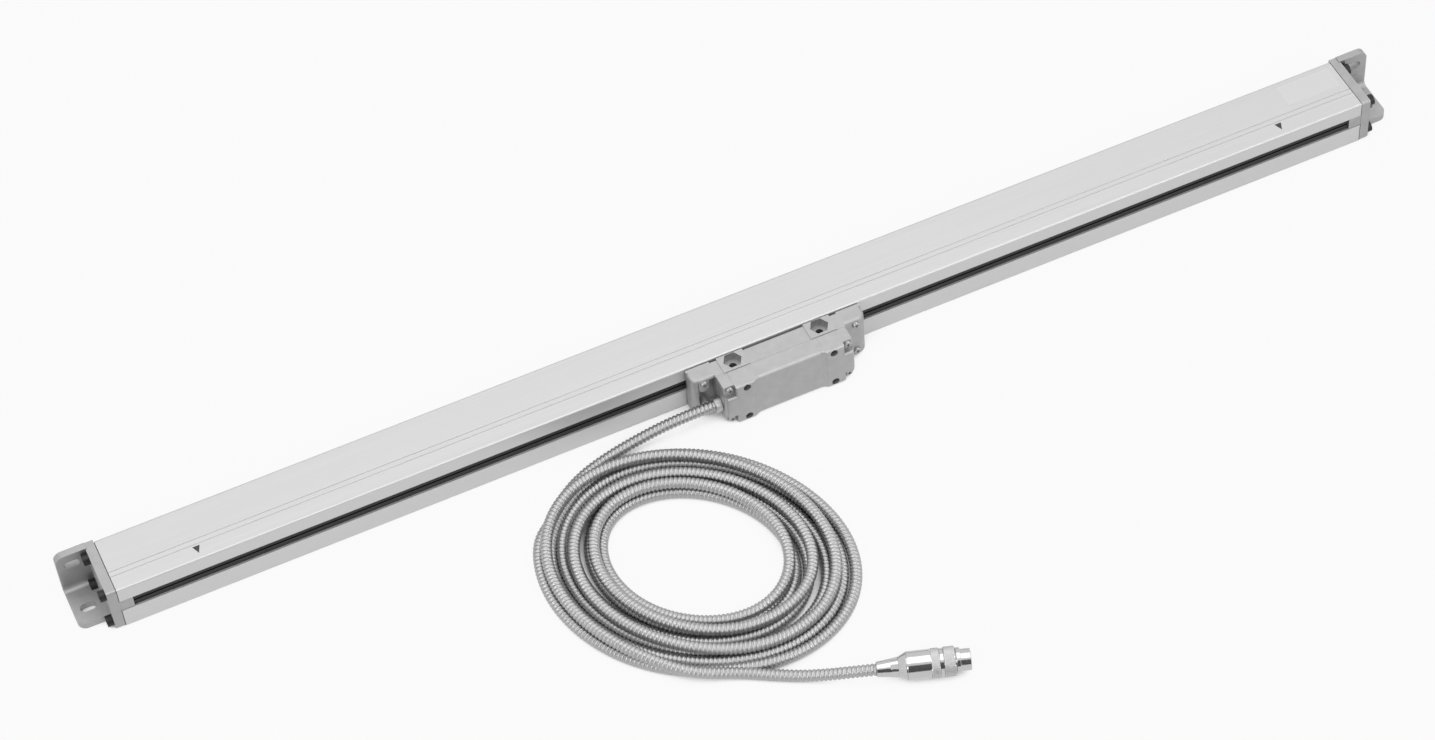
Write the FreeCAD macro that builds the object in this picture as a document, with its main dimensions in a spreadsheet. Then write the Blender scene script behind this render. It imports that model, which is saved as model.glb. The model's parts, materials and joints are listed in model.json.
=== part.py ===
import FreeCAD, Part
import math
import os
import Sketcher

# Linear glass scale, millimetres.
# The origin is the centre of the housing's underside. X runs along the scale,
# Y runs from the reader side to the mounting side, Z is up.

SIZES = [
    ("body_depth", 46.3, "housing from front to back"),
    ("body_height", 37.5, "housing from underside to top"),
    ("body_wall", 3.0, "wall of the housing"),
    ("front_wall", 4.5, "wall that carries the slot"),
    ("slot_low", 16.1, "lower edge of the slot"),
    ("slot_high", 26.0, "upper edge of the slot"),
    ("lip_setback", 1.5, "front face to the lip groove"),
    ("lip_groove_width", 1.8, "groove that holds a lip"),
    ("lip_groove_depth", 1.8, "depth of that groove"),
    ("line_width", 0.6, "decorative line on the top face"),
    ("line_depth", 0.35, "depth of that line"),
    ("line_front", 12.6, "front face to the first line"),
    ("line_back", 16.6, "front face to the second line"),
    ("back_edge_radius", 2.6, "rounded back top edge"),
    ("front_edge_radius", 1.2, "rounded front top edge"),
    ("foot_edge_radius", 0.8, "rounded lower edges"),
    ("boss_margin", 4.2, "screw axis to the side of its boss"),
    ("end_screw_front", 4.9, "front face to the front end screws"),
    ("end_screw_back", 8.7, "back face to the back end screws"),
    ("end_screw_low", 5.1, "height of the lower end screws"),
    ("end_screw_high", 32.4, "height of the upper end screws"),
    ("end_screw_radius", 2.0, "shank of an end screw"),
    ("end_screw_reach", 10.0, "shank inside the housing"),
    ("end_bore_room", 1.0, "bore past the tip of the shank"),
    ("end_head_radius", 3.9, "head of an end screw"),
    ("end_head_height", 4.8, "height of that head"),
    ("end_head_recess", 0.5, "head sunk into the end cap"),
    ("end_head_room", 0.3, "room round a sunk head"),
    ("end_socket_radius", 2.2, "corner radius of the hexagon socket"),
    ("end_socket_depth", 2.4, "depth of the hexagon socket"),
    ("screw_clearance", 0.1, "radial room round a shank"),
    ("gasket_thickness", 0.5, "gasket behind an end cap"),
    ("cap_thickness", 6.6, "plate of an end cap"),
    ("cap_corner_radius", 2.0, "corners of the end cap's front"),
    ("tongue_length", 9.0, "tongue of the cap in the slot"),
    ("tongue_gap", 0.35, "seam above and below the tongue"),
    ("tongue_setback", 0.2, "tongue behind the front face"),
    ("flange_reach", 21.4, "flange past the end plate"),
    ("back_flange_thickness", 5.2, "vertical flange"),
    ("back_flange_proud", 0.6, "vertical flange behind the housing"),
    ("back_flange_rise", 0.6, "vertical flange over the housing"),
    ("low_flange_thickness", 5.0, "horizontal flange"),
    ("low_flange_front", 9.5, "front face to the horizontal flange"),
    ("flange_corner_radius", 6.0, "outer corners of the flanges"),
    ("flange_root_radius", 4.0, "hollow corner between the flanges"),
    ("slot_reach", 11.0, "end plate to the middle of a foot slot"),
    ("foot_slot_length", 11.0, "slot in a flange, end to end"),
    ("foot_slot_width", 6.5, "width of that slot"),
    ("foot_slot_y", -1.0, "middle of the slot in the horizontal flange"),
    ("foot_slot_z", 28.0, "middle of the slot in the vertical flange"),
    ("measuring_length", 800.0, "travel between the two marks"),
    ("body_past_travel", 119.0, "housing longer than the measuring length"),
    ("glass_past_travel", 66.0, "glass longer than the measuring length"),
    ("measuring_centre", -1.0, "middle of that travel"),
    ("overtravel", 5.0, "travel past each mark"),
    ("buffer_radius", 3.0, "rubber buffer"),
    ("buffer_gap", 0.5, "buffer to the carriage at full travel"),
    ("mark_width", 5.0, "triangle mark across"),
    ("mark_depth", 6.0, "triangle mark front to back"),
    ("mark_front", 5.0, "front face to the tip of a mark"),
    ("foil_thickness", 0.12, "printed marks and plates"),
    ("plate_length", 41.5, "bare rating plate"),
    ("plate_width", 19.0, "bare rating plate"),
    ("plate_end_gap", 4.0, "rating plate to the housing's end"),
    ("plate_front", 22.0, "front face to the rating plate"),
    ("rail_thickness", 2.0, "ribs that hold the glass"),
    ("rail_depth", 6.0, "ribs below the ceiling"),
    ("glass_height", 14.0, "glass scale"),
    ("glass_thickness", 2.2, "glass scale"),
    ("glass_top_gap", 0.3, "glass to the ceiling"),
    ("glass_front", 0.7, "front face of the glass in Y"),
    ("strip_thickness", 0.8, "rubber strip behind the glass"),
    ("lip_thickness", 1.0, "blade of a lip"),
    ("lip_lean", 0.6, "blade of a lip leans out"),
    ("lip_end_gap", 0.3, "lip to the tongue of an end cap"),
    ("lip_tip_gap", 0.15, "lip to the coupling blade"),
    ("blade_low", 20.4, "underside of the coupling blade"),
    ("blade_thickness", 1.2, "coupling blade"),
    ("blade_half_width", 14.0, "coupling blade in the slot"),
    ("blade_tail", 22.0, "blade reach to the wire post"),
    ("blade_inner", 11.5, "inner edge of the blade in minus Y"),
    ("blade_root", 33.0, "root of the blade in minus Y"),
    ("blade_wall_gap", 1.0, "tail of the blade to the front wall"),
    ("flex_half_width", 3.8, "flat cable on the blade"),
    ("flex_thickness", 0.3, "flat cable on the blade"),
    ("flex_groove", 0.4, "groove for the flat cable"),
    ("flex_gap", 0.2, "flat cable to the side of its groove"),
    ("carriage_length", 64.0, "scanning carriage"),
    ("carriage_front", 9.0, "front of the carriage in minus Y"),
    ("carriage_back", 9.5, "back of the carriage"),
    ("carriage_low", 7.0, "underside of the carriage"),
    ("carriage_base", 4.5, "base of the carriage"),
    ("front_upright", 6.8, "thickness of the front upright"),
    ("back_upright", 3.0, "thickness of the back upright"),
    ("upright_top", 22.5, "top of both uprights"),
    ("side_roller_gap", 1.0, "uprights to the side rollers"),
    ("roller_pad_depth", 2.6, "pad under the back roller"),
    ("roller_radius", 4.0, "guide roller"),
    ("roller_width", 3.0, "guide roller"),
    ("roller_gap", 0.2, "roller to the glass"),
    ("roller_bevel", 0.4, "rims of a roller"),
    ("axle_radius", 1.0, "roller axle"),
    ("axle_fit", 0.03, "running clearance of a roller"),
    ("axle_head_radius", 1.9, "head of an axle"),
    ("axle_head_height", 0.7, "head of an axle"),
    ("axle_head_gap", 0.3, "roller to the head of its axle"),
    ("axle_depth", 4.5, "side roller's axle in its upright"),
    ("axle_hole_room", 0.5, "axle hole past the axle"),
    ("axle_seat_gap", 0.02, "axle in its hole"),
    ("edge_axle_start", 2.5, "carriage's front to the edge rollers' axles"),
    ("side_roller_x", 26.0, "side rollers from the carriage's middle"),
    ("edge_roller_x", 19.0, "edge rollers from the carriage's middle"),
    ("optic_left", -18.0, "optical block, left side"),
    ("optic_width", 12.0, "optical block along X"),
    ("optic_top", 27.0, "top of the optical block"),
    ("optic_back_depth", 1.5, "back of the optical block before its upright"),
    ("reticle_margin", 1.0, "side of the optical block to the reticle"),
    ("reticle_foot", 0.5, "reticle below the top of its upright"),
    ("board_left", 2.0, "optical boards past the block's left side"),
    ("board_right", 1.0, "optical boards past the block's right side"),
    ("board_rise", 0.4, "optical boards over the block"),
    ("reticle_thickness", 1.3, "index reticle"),
    ("reticle_gap", 0.3, "reticle to the glass"),
    ("board_thickness", 1.6, "circuit boards"),
    ("led_radius", 1.5, "opening for the light"),
    ("lamp_gap", 0.1, "emitter in that opening"),
    ("lamp_length", 3.4, "emitter"),
    ("wire_radius", 0.6, "coupling wire"),
    ("wire_y", 12.2, "coupling wire in minus Y"),
    ("wire_z", 24.0, "height of the coupling wire"),
    ("wire_cover", 1.6, "wire's axis to the outside of its post or lug"),
    ("wire_lug", 4.0, "post and lug along the wire"),
    ("reader_x", 6.2, "reader's middle in the stored position"),
    ("head_length", 95.6, "reader housing along X"),
    ("head_low", 0.4, "underside of the reader"),
    ("head_top", 36.8, "top of the reader"),
    ("pad_gap", 1.0, "housing to the reader's pads"),
    ("pad_proud", 1.2, "pads behind the reader's back"),
    ("pad_rise", 0.6, "pads over the reader's top"),
    ("pad_width", 19.2, "pads along X"),
    ("seam_depth", 15.0, "front face to the reader's seam"),
    ("cover_front", 28.8, "front face to the reader's cover"),
    ("band_front", 30.6, "front face to the cover's bands"),
    ("band_inner", 26.0, "inner side of a band"),
    ("band_outer", 40.0, "outer side of a band at the screw ledges"),
    ("band_end_gap", 1.4, "reader's end to the front face between the screw ledges"),
    ("band_ramp", 2.4, "slope beside the inner side of a band"),
    ("band_flat", 2.0, "inner side of a band to the start of its slope"),
    ("band_low_gap", 0.1, "reader's underside to a band"),
    ("band_rise", 0.2, "bands over the reader's top"),
    ("band_edge_radius", 1.5, "front edges of a band"),
    ("cover_gasket_thickness", 0.4, "gasket in the seam"),
    ("gasket_setback", 0.1, "gasket behind the reader's top and underside"),
    ("cover_wall", 2.6, "wall of the cover"),
    ("cover_corner_radius", 5.0, "lower corners of the cover"),
    ("cover_top_radius", 1.0, "upper corners of the cover"),
    ("cover_edge_radius", 2.2, "front edges of the cover"),
    ("ledge_front", 26.5, "front face to the screw ledges"),
    ("low_ledge_top", 8.0, "top of the lower screw ledges"),
    ("top_ledge_height", 9.0, "upper screw ledges below the reader's top"),
    ("ledge_wall", 2.0, "wall between a ledge and the room inside"),
    ("hole_spacing_x", 64.0, "reader fixing holes along X"),
    ("hole_low", 4.1, "height of the lower fixing holes"),
    ("hole_high", 33.7, "height of the upper fixing holes"),
    ("hole_radius", 2.75, "fixing holes"),
    ("front_hole_depth", 11.0, "fixing holes in the front"),
    ("nut_across", 11.6, "hexagon pocket across the flats"),
    ("nut_depth", 6.5, "hexagon pocket"),
    ("nut_y", 7.2, "front face to the hexagon pockets"),
    ("cover_screw_x", 43.4, "cover screws from the middle"),
    ("cover_screw_low", 3.9, "height of the lower cover screws"),
    ("cover_screw_high", 33.4, "height of the upper cover screws"),
    ("small_screw_radius", 1.4, "shank of the small screws"),
    ("small_head_radius", 2.7, "pan head"),
    ("small_head_height", 1.9, "pan head"),
    ("cross_length", 3.0, "cross recess"),
    ("cross_width", 0.8, "cross recess"),
    ("cross_depth", 1.1, "cross recess"),
    ("cover_screw_length", 18.0, "shank of a cover screw"),
    ("wing_thickness", 2.4, "wings that carry the side brackets"),
    ("bracket_width", 16.4, "side bracket along X"),
    ("bracket_front", 13.3, "front face to the bracket's front"),
    ("bracket_radius", 2.0, "edges of a side bracket"),
    ("bracket_corner", 6.0, "outer front corner of a side bracket"),
    ("bracket_screw_reach", 8.3, "reader's end to the bracket screws"),
    ("bracket_screw_low", 5.5, "height of the lower bracket screw"),
    ("bracket_screw_high", 32.2, "height of the upper bracket screw"),
    ("recess_column", 4.0, "column beside the left bracket's recess"),
    ("recess_depth", 5.5, "recess for the armoured cable"),
    ("recess_top", 34.5, "top of that recess"),
    ("lug_radius", 3.6, "lug round a bracket screw"),
    ("lug_reach", 4.4, "screw axis to the lug's round end"),
    ("bracket_screw_room", 0.2, "tip of a bracket screw to the pads' plane"),
    ("gland_y", 19.25, "front face to the gland's axis"),
    ("gland_z", 14.0, "height of the gland's axis"),
    ("gland_radius", 5.8, "ferrule of the gland"),
    ("gland_length", 5.0, "ferrule of the gland"),
    ("gland_thread_radius", 3.5, "threaded part of the gland"),
    ("gland_nut_radius", 3.95, "nut inside the cover"),
    ("gland_nut_length", 2.0, "nut inside the cover"),
    ("gland_nut_gap", 0.4, "washer room under the nut"),
    ("gland_chamfer", 0.5, "rims of the ferrule"),
    ("gland_fit", 0.05, "threaded part in the cover"),
    ("nut_fit", 0.03, "nut on the threaded part"),
    ("gland_room", 5.0, "gasket's opening from the gland's axis"),
    ("cable_radius", 2.2, "inner cable"),
    ("cable_fit", 0.05, "inner cable in the gland and the clamp"),
    ("clamp_wall", 1.4, "clamp in front of the cable"),
    ("clamp_start", 3.0, "clamp from the outer side of the band"),
    ("clamp_end", 4.0, "clamp from the inner side of the band"),
    ("clamp_half_height", 4.0, "clamp and connector from the cable's axis"),
    ("connector_length", 7.0, "board connector along X"),
    ("connector_proud", 2.6, "board connector in front of the cable's axis"),
    ("chip_height", 1.8, "chips on the signal board"),
    ("signal_board_half", 24.0, "signal board from the middle"),
    ("signal_board_low", 4.4, "lower edge of the signal board"),
    ("signal_board_high", 32.8, "upper edge of the signal board"),
    ("pocket_half", 33.0, "pocket in the reader base"),
    ("pocket_low", 7.5, "pocket in the reader base"),
    ("pocket_high", 29.5, "pocket in the reader base"),
    ("pocket_depth", 4.0, "pocket in the reader base"),
    ("conduit_radius", 4.0, "armoured conduit"),
    ("coil_x", -106.0, "middle of the coil"),
    ("coil_y", -152.0, "middle of the coil"),
    ("coil_long", 112.6, "long half axis of the coil"),
    ("coil_short", 89.5, "short half axis of the coil"),
    ("coil_hole_long", 61.5, "long half axis of the hole"),
    ("coil_hole_short", 48.0, "short half axis of the hole"),
    ("coil_hole_shift_x", -2.0, "hole from the coil's middle"),
    ("coil_hole_shift_y", 5.5, "hole from the coil's middle"),
    ("coil_angle", 127.0, "long axis of the coil"),
    ("coil_height", 17.0, "two turns on each other"),
    ("coil_edge_radius", 4.0, "rounded edges of the coil"),
    ("plug_x", -42.2, "rear of the plug"),
    ("plug_y", -281.2, "rear of the plug"),
    ("plug_z", 9.8, "axis of the plug"),
    ("plug_angle", -19.1, "axis of the plug"),
    ("shell_rear_radius", 4.95, "rear of the backshell"),
    ("shell_mid_radius", 6.6, "backshell where the steep cone starts"),
    ("shell_mid", 14.0, "backshell where the steep cone starts"),
    ("shell_length", 19.3, "backshell"),
    ("plug_body_radius", 9.4, "smooth body of the plug"),
    ("plug_body_length", 15.2, "smooth body of the plug"),
    ("plug_step", 0.1, "backshell under the body"),
    ("plug_chamfer", 0.4, "rims of the plug"),
    ("shell_rear_bore", 3.4, "bore at the backshell's rear"),
    ("shell_mid_bore", 4.4, "bore where the steep cone starts"),
    ("wire_bore", 5.0, "bore through the plug's body"),
    ("sleeve_radius", 7.6, "sleeve under the coupling ring"),
    ("barrel_radius", 7.2, "front barrel"),
    ("barrel_bore", 6.3, "front barrel"),
    ("barrel_length", 6.5, "front barrel"),
    ("ring_gap", 0.3, "coupling ring to the body"),
    ("ring_length", 18.7, "coupling ring"),
    ("ring_radius", 9.7, "knurled bands"),
    ("ring_waist_radius", 9.1, "waist between the bands"),
    ("ring_nose_radius", 8.5, "nose of the ring"),
    ("ring_nose_slope", 0.5, "slope from the second band to the nose"),
    ("ring_rim", 0.3, "rear rim of the ring"),
    ("ring_rim_step", 0.2, "rear rim of the ring"),
    ("ring_band_one", 5.4, "first knurled band"),
    ("ring_waist", 2.8, "waist between the bands"),
    ("ring_band_two", 7.2, "second knurled band"),
    ("ring_fit", 0.05, "running clearance of the ring"),
    ("insert_length", 10.0, "insulating insert"),
    ("insert_clearance", 0.05, "insert in the barrel"),
    ("insert_recess", 9.0, "rim of the barrel to the insert"),
    ("pin_radius", 0.5, "contact pin"),
    ("pin_length", 7.0, "contact pin in front of the insert"),
    ("pin_circle", 4.25, "contact pins from the axis"),
]

# The lead from the gland to the coil and the tail from the coil to the plug,
# hand-chosen points. The first point of the lead and the last of the tail
# come from the gland and the plug.
LEAD_POINTS = [
    (-62.5, -42.4, 14.0),
    (-84.5, -41.3, 11.4),
    (-110.0, -41.6, 6.6),
    (-130.5, -44.4, 4.4),
    (-149.5, -50.8, 4.05),
    (-166.5, -61.5, 4.05),
    (-180.5, -75.5, 4.05),
]
TAIL_POINTS = [
    (-119.0, -240.5, 4.05),
    (-103.0, -250.6, 4.05),
    (-86.0, -260.4, 4.05),
    (-70.5, -268.4, 5.9),
    (-55.43, -276.62, 9.8),
]
# Chips on the signal board: X and Z of the corner, length and height.
CHIPS = [(-6.0, 20.0, 9.0, 7.0), (8.0, 20.0, 7.0, 7.0), (6.0, 8.0, 12.0, 5.0)]
PIN_COUNT = 8
ARC_SHARE = 0.45
# How far joined blocks and cutting tools run past a face.
OVER = 1.0

document = FreeCAD.newDocument("linear_glass_scale")
sheet = document.addObject("Spreadsheet::Sheet", "Dimensions")
nodes = {}


class Size:
    """A value together with the sheet formula that gives it."""

    def __init__(self, formula, value):
        self.formula = formula
        self.value = value

    def __add__(self, other):
        return Size("(%s + %s)" % (self.formula, text_of(other)), self.value + value_of(other))

    def __radd__(self, other):
        return Size("(%s + %s)" % (text_of(other), self.formula), value_of(other) + self.value)

    def __sub__(self, other):
        return Size("(%s - %s)" % (self.formula, text_of(other)), self.value - value_of(other))

    def __rsub__(self, other):
        return Size("(%s - %s)" % (text_of(other), self.formula), value_of(other) - self.value)

    def __mul__(self, other):
        return Size("(%s * %s)" % (self.formula, text_of(other)), self.value * value_of(other))

    def __rmul__(self, other):
        return Size("(%s * %s)" % (text_of(other), self.formula), value_of(other) * self.value)

    def __truediv__(self, other):
        return Size("(%s / %s)" % (self.formula, text_of(other)), self.value / value_of(other))

    def __neg__(self):
        return Size("(-1 * %s)" % self.formula, -self.value)


def text_of(size):
    if isinstance(size, Size):
        return size.formula
    return "(%r)" % float(size)


def value_of(size):
    if isinstance(size, Size):
        return size.value
    return float(size)


class Dimensions:
    """The driving dimensions, as they stand in the sheet."""


def fill_sheet():
    dimensions = Dimensions()
    for number, (alias, value, meaning) in enumerate(SIZES):
        row = number + 1
        sheet.set("A%d" % row, meaning)
        sheet.set("B%d" % row, repr(value))
        sheet.setAlias("B%d" % row, alias)
        setattr(dimensions, alias, Size("Dimensions." + alias, value))
    document.recompute()
    return dimensions


d = fill_sheet()

# Places that several pieces share.
front_y = -d.body_depth / 2
back_y = d.body_depth / 2
body_length = d.measuring_length + d.body_past_travel
half_length = body_length / 2
half_glass = (d.measuring_length + d.glass_past_travel) / 2
ceiling_z = d.body_height - d.body_wall
cavity_front = front_y + d.front_wall
cavity_back = back_y - d.body_wall
screw_front_y = front_y + d.end_screw_front
screw_back_y = back_y - d.end_screw_back
groove_front = front_y + d.lip_setback
groove_back = groove_front + d.lip_groove_width
glass_back = d.glass_front + d.glass_thickness
strip_back = glass_back + d.strip_thickness
glass_top = ceiling_z - d.glass_top_gap
glass_low = glass_top - d.glass_height
plate_inner = half_length + d.gasket_thickness
plate_outer = plate_inner + d.cap_thickness
screw_seat = plate_outer - d.end_head_recess
blade_top = d.blade_low + d.blade_thickness
head_half = d.head_length / 2
pad_back = front_y - d.pad_gap
base_back = pad_back - d.pad_proud
seam_y = front_y - d.seam_depth
cover_back = seam_y - d.cover_gasket_thickness
cover_y = front_y - d.cover_front
band_y = front_y - d.band_front
ledge_y = front_y - d.ledge_front
bracket_y = front_y - d.bracket_front
wing_front = pad_back - d.wing_thickness
gland_axis_y = front_y - d.gland_y
gland_inner = head_half - d.cover_wall - d.gland_nut_gap
carriage_top = d.carriage_low + d.carriage_base
half_carriage = d.carriage_length / 2
side_roller_y = d.glass_front - d.roller_gap - d.roller_radius
back_roller_y = glass_back + d.roller_gap + d.roller_radius
side_roller_z = d.upright_top + d.side_roller_gap
edge_roller_y = (d.glass_front + glass_back) / 2 - d.roller_width / 2
edge_roller_z = glass_low - d.roller_gap - d.roller_radius
optic_right = d.optic_left + d.optic_width
lens_x = d.reader_x + (d.optic_left + optic_right) / 2
lens_z = (d.upright_top + d.optic_top) / 2
top_ledge = d.head_top - d.top_ledge_height
small_shank = d.small_screw_radius + d.screw_clearance
end_shank = d.end_screw_radius + d.screw_clearance

X_AXIS = FreeCAD.Vector(1, 0, 0)
Z_AXIS = FreeCAD.Vector(0, 0, 1)
TURN_OF = {
    "+X": FreeCAD.Rotation(Z_AXIS, X_AXIS),
    "-X": FreeCAD.Rotation(Z_AXIS, -X_AXIS),
    "+Y": FreeCAD.Rotation(Z_AXIS, FreeCAD.Vector(0, 1, 0)),
    "-Y": FreeCAD.Rotation(Z_AXIS, FreeCAD.Vector(0, -1, 0)),
    "+Z": FreeCAD.Rotation(),
}
TURNED_TO = {
    "+X": FreeCAD.Rotation(),
    "-X": FreeCAD.Rotation(Z_AXIS, 180),
    "+Y": FreeCAD.Rotation(Z_AXIS, 90),
    "-Y": FreeCAD.Rotation(Z_AXIS, -90),
    "+Z": FreeCAD.Rotation(FreeCAD.Vector(0, 1, 0), -90),
}


def bind(item, path, size):
    item.setExpression(path, text_of(size))


def place(item, x, y, z, turn=None):
    if turn is not None:
        item.Placement = FreeCAD.Placement(FreeCAD.Vector(0, 0, 0), turn)
    bind(item, "Placement.Base.x", x)
    bind(item, "Placement.Base.y", y)
    bind(item, "Placement.Base.z", z)


def keep(name, item):
    item.Label = name
    nodes[name] = item
    return item


def box(name, x, y, z, length, width, height):
    item = document.addObject("Part::Box", name)
    bind(item, "Length", length)
    bind(item, "Width", width)
    bind(item, "Height", height)
    place(item, x, y, z)
    return item


def span_box(name, x_range, y_range, z_range):
    return box(
        name, x_range[0], y_range[0], z_range[0],
        x_range[1] - x_range[0], y_range[1] - y_range[0], z_range[1] - z_range[0])


def cylinder(name, x, y, z, radius, length, along):
    item = document.addObject("Part::Cylinder", name)
    bind(item, "Radius", radius)
    bind(item, "Height", length)
    place(item, x, y, z, TURN_OF[along])
    return item


def hexagon(name, x, y, z, corner_radius, length, along):
    item = document.addObject("Part::Prism", name)
    item.Polygon = 6
    bind(item, "Circumradius", corner_radius)
    bind(item, "Height", length)
    place(item, x, y, z, TURN_OF[along])
    return item


def fuse(name, items):
    item = document.addObject("Part::MultiFuse", name)
    item.Shapes = items
    return item


def group(name, items):
    item = document.addObject("Part::Compound", name)
    item.Links = items
    return item


def cut(name, base, tools):
    item = document.addObject("Part::Cut", name)
    item.Base = base
    if len(tools) == 1:
        item.Tool = tools[0]
    else:
        item.Tool = fuse(name + "_tools", tools)
    return item


def sketch_outline(body, name, plane_role, points):
    """A closed outline whose corners are all bound to the sheet."""
    sketch = body.newObject("Sketcher::SketchObject", name)
    planes = [item for item in body.Origin.OriginFeatures if item.Role == plane_role]
    sketch.AttachmentSupport = [(planes[0], "")]
    sketch.MapMode = "FlatFace"
    corners = [FreeCAD.Vector(value_of(x), value_of(y), 0) for x, y in points]
    count = len(corners)
    lines = []
    constraints = []
    for index in range(count):
        lines.append(Part.LineSegment(corners[index], corners[(index + 1) % count]))
        constraints.append(Sketcher.Constraint("Coincident", index, 2, (index + 1) % count, 1))
    for index, corner in enumerate(corners):
        constraints.append(Sketcher.Constraint("DistanceX", -1, 1, index, 1, corner.x))
        constraints.append(Sketcher.Constraint("DistanceY", -1, 1, index, 1, corner.y))
    sketch.addGeometry(lines, False)
    sketch.addConstraint(constraints)
    for index, (x, y) in enumerate(points):
        sketch.setExpression("Constraints[%d]" % (count + 2 * index), text_of(x))
        sketch.setExpression("Constraints[%d]" % (count + 2 * index + 1), text_of(y))
    return sketch


def padded(name, plane_role, points, length):
    body = document.addObject("PartDesign::Body", name)
    sketch = sketch_outline(body, name + "_outline", plane_role, points)
    pad = body.newObject("PartDesign::Pad", name + "_pad")
    pad.Profile = sketch
    bind(pad, "Length", length)
    return body


def round_edges(body, radius, wanted):
    """Rounds the edges of a body's last feature for which wanted is true."""
    document.recompute()
    last = body.Tip
    names = []
    for index, edge in enumerate(last.Shape.Edges):
        ends = [edge.valueAt(edge.FirstParameter), edge.valueAt(edge.LastParameter)]
        if wanted(ends[0], ends[1]):
            names.append("Edge%d" % (index + 1))
    fillet = body.newObject("PartDesign::Fillet", body.Name + "_round%d" % len(body.Group))
    fillet.Base = (last, names)
    bind(fillet, "Radius", radius)
    return fillet


def turned(name, points, x, y, z, turn):
    """A turned piece: points are along its axis and out from it."""
    body = document.addObject("PartDesign::Body", name)
    sketch = sketch_outline(body, name + "_outline", "XY_Plane", points)
    revolution = body.newObject("PartDesign::Revolution", name + "_turned")
    revolution.Profile = sketch
    revolution.ReferenceAxis = (sketch, ["H_Axis"])
    revolution.Angle = 360
    place(body, x, y, z, turn)
    return body


def close_to(left, right):
    return abs(left - right) < 1e-4


def side_span(side, near, far):
    """The X range from near to far on the left (-1) or right (1) side."""
    if side > 0:
        return (near, far)
    return (-far, -near)


def end_screw_places():
    places = []
    for y in (screw_front_y, screw_back_y):
        for z in (d.end_screw_low, d.end_screw_high):
            places.append((y, z))
    return places


def line_notch(distance):
    """A decorative line across the top face, from the back to the front."""
    middle = front_y + distance
    bottom = d.body_height - d.line_depth
    return [
        (middle + d.line_width / 2, d.body_height),
        (middle + d.line_width / 2, bottom),
        (middle - d.line_width / 2, bottom),
        (middle - d.line_width / 2, d.body_height),
    ]


def housing_outline():
    boss_front = screw_front_y + d.boss_margin
    boss_back = screw_back_y - d.boss_margin
    boss_top = d.end_screw_high - d.boss_margin
    boss_low = d.end_screw_low + d.boss_margin
    rail_low = ceiling_z - d.rail_depth
    outside = [
        (front_y, 0),
        (back_y, 0),
        (back_y, d.body_height),
    ]
    outside += line_notch(d.line_back)
    outside += line_notch(d.line_front)
    outside += [
        (front_y, d.body_height),
        (front_y, d.slot_high),
        (groove_front, d.slot_high),
        (groove_front, d.slot_high + d.lip_groove_depth),
        (groove_back, d.slot_high + d.lip_groove_depth),
        (groove_back, d.slot_high),
        (cavity_front, d.slot_high),
    ]
    inside = [
        (cavity_front, boss_top),
        (boss_front, boss_top),
        (boss_front, ceiling_z),
        (d.glass_front - d.rail_thickness, ceiling_z),
        (d.glass_front - d.rail_thickness, rail_low),
        (d.glass_front, rail_low),
        (d.glass_front, ceiling_z),
        (strip_back, ceiling_z),
        (strip_back, rail_low),
        (strip_back + d.rail_thickness, rail_low),
        (strip_back + d.rail_thickness, ceiling_z),
        (boss_back, ceiling_z),
        (boss_back, boss_top),
        (cavity_back, boss_top),
        (cavity_back, boss_low),
        (boss_back, boss_low),
        (boss_back, d.body_wall),
        (boss_front, d.body_wall),
        (boss_front, boss_low),
        (cavity_front, boss_low),
    ]
    lower_edge = [
        (cavity_front, d.slot_low),
        (groove_back, d.slot_low),
        (groove_back, d.slot_low - d.lip_groove_depth),
        (groove_front, d.slot_low - d.lip_groove_depth),
        (groove_front, d.slot_low),
        (front_y, d.slot_low),
    ]
    return outside + inside + lower_edge


def make_housing():
    body = padded("housing_body", "YZ_Plane", housing_outline(), body_length)

    def along(low, high, y, z):
        return (close_to(low.y, y.value) and close_to(high.y, y.value)
                and close_to(low.z, value_of(z)) and close_to(high.z, value_of(z)))

    round_edges(body, d.back_edge_radius, lambda a, b: along(a, b, back_y, d.body_height))
    round_edges(body, d.front_edge_radius, lambda a, b: along(a, b, front_y, d.body_height))
    round_edges(
        body, d.foot_edge_radius,
        lambda a, b: along(a, b, front_y, 0) or along(a, b, back_y, 0))
    place(body, -half_length, 0, 0)
    bores = []
    for index, (y, z) in enumerate(end_screw_places()):
        depth = d.end_screw_reach + d.end_bore_room
        bores.append(cylinder(
            "bore_left_%d" % index, -half_length, y, z, end_shank, depth, "+X"))
        bores.append(cylinder(
            "bore_right_%d" % index, half_length, y, z, end_shank, depth, "-X"))
    return keep("housing_extrusion", cut("housing_cut", body, bores))


def slot_tool(name, x, y, z, along):
    """A slot with round ends that runs along X, cut upwards or backwards."""
    radius = d.foot_slot_width / 2
    reach = d.foot_slot_length / 2 - radius
    depth = 2 * d.body_depth
    ends = [
        cylinder(name + "_low", x - reach, y, z, radius, depth, along),
        cylinder(name + "_high", x + reach, y, z, radius, depth, along),
    ]
    if along == "+Z":
        middle = box(name + "_mid", x - reach, y - radius, z, 2 * reach, 2 * radius, depth)
    else:
        middle = box(name + "_mid", x - reach, y, z - radius, 2 * reach, depth, 2 * radius)
    return fuse(name, ends + [middle])


def flange_body(name, side, plane_role, points, thickness, is_round):
    body = padded(name, plane_role, points, thickness)
    outer = side * value_of(plate_outer + d.flange_reach)
    round_edges(
        body, d.flange_corner_radius,
        lambda a, b: close_to(a.x, outer) and close_to(b.x, outer) and is_round(a, b))
    return body


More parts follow.
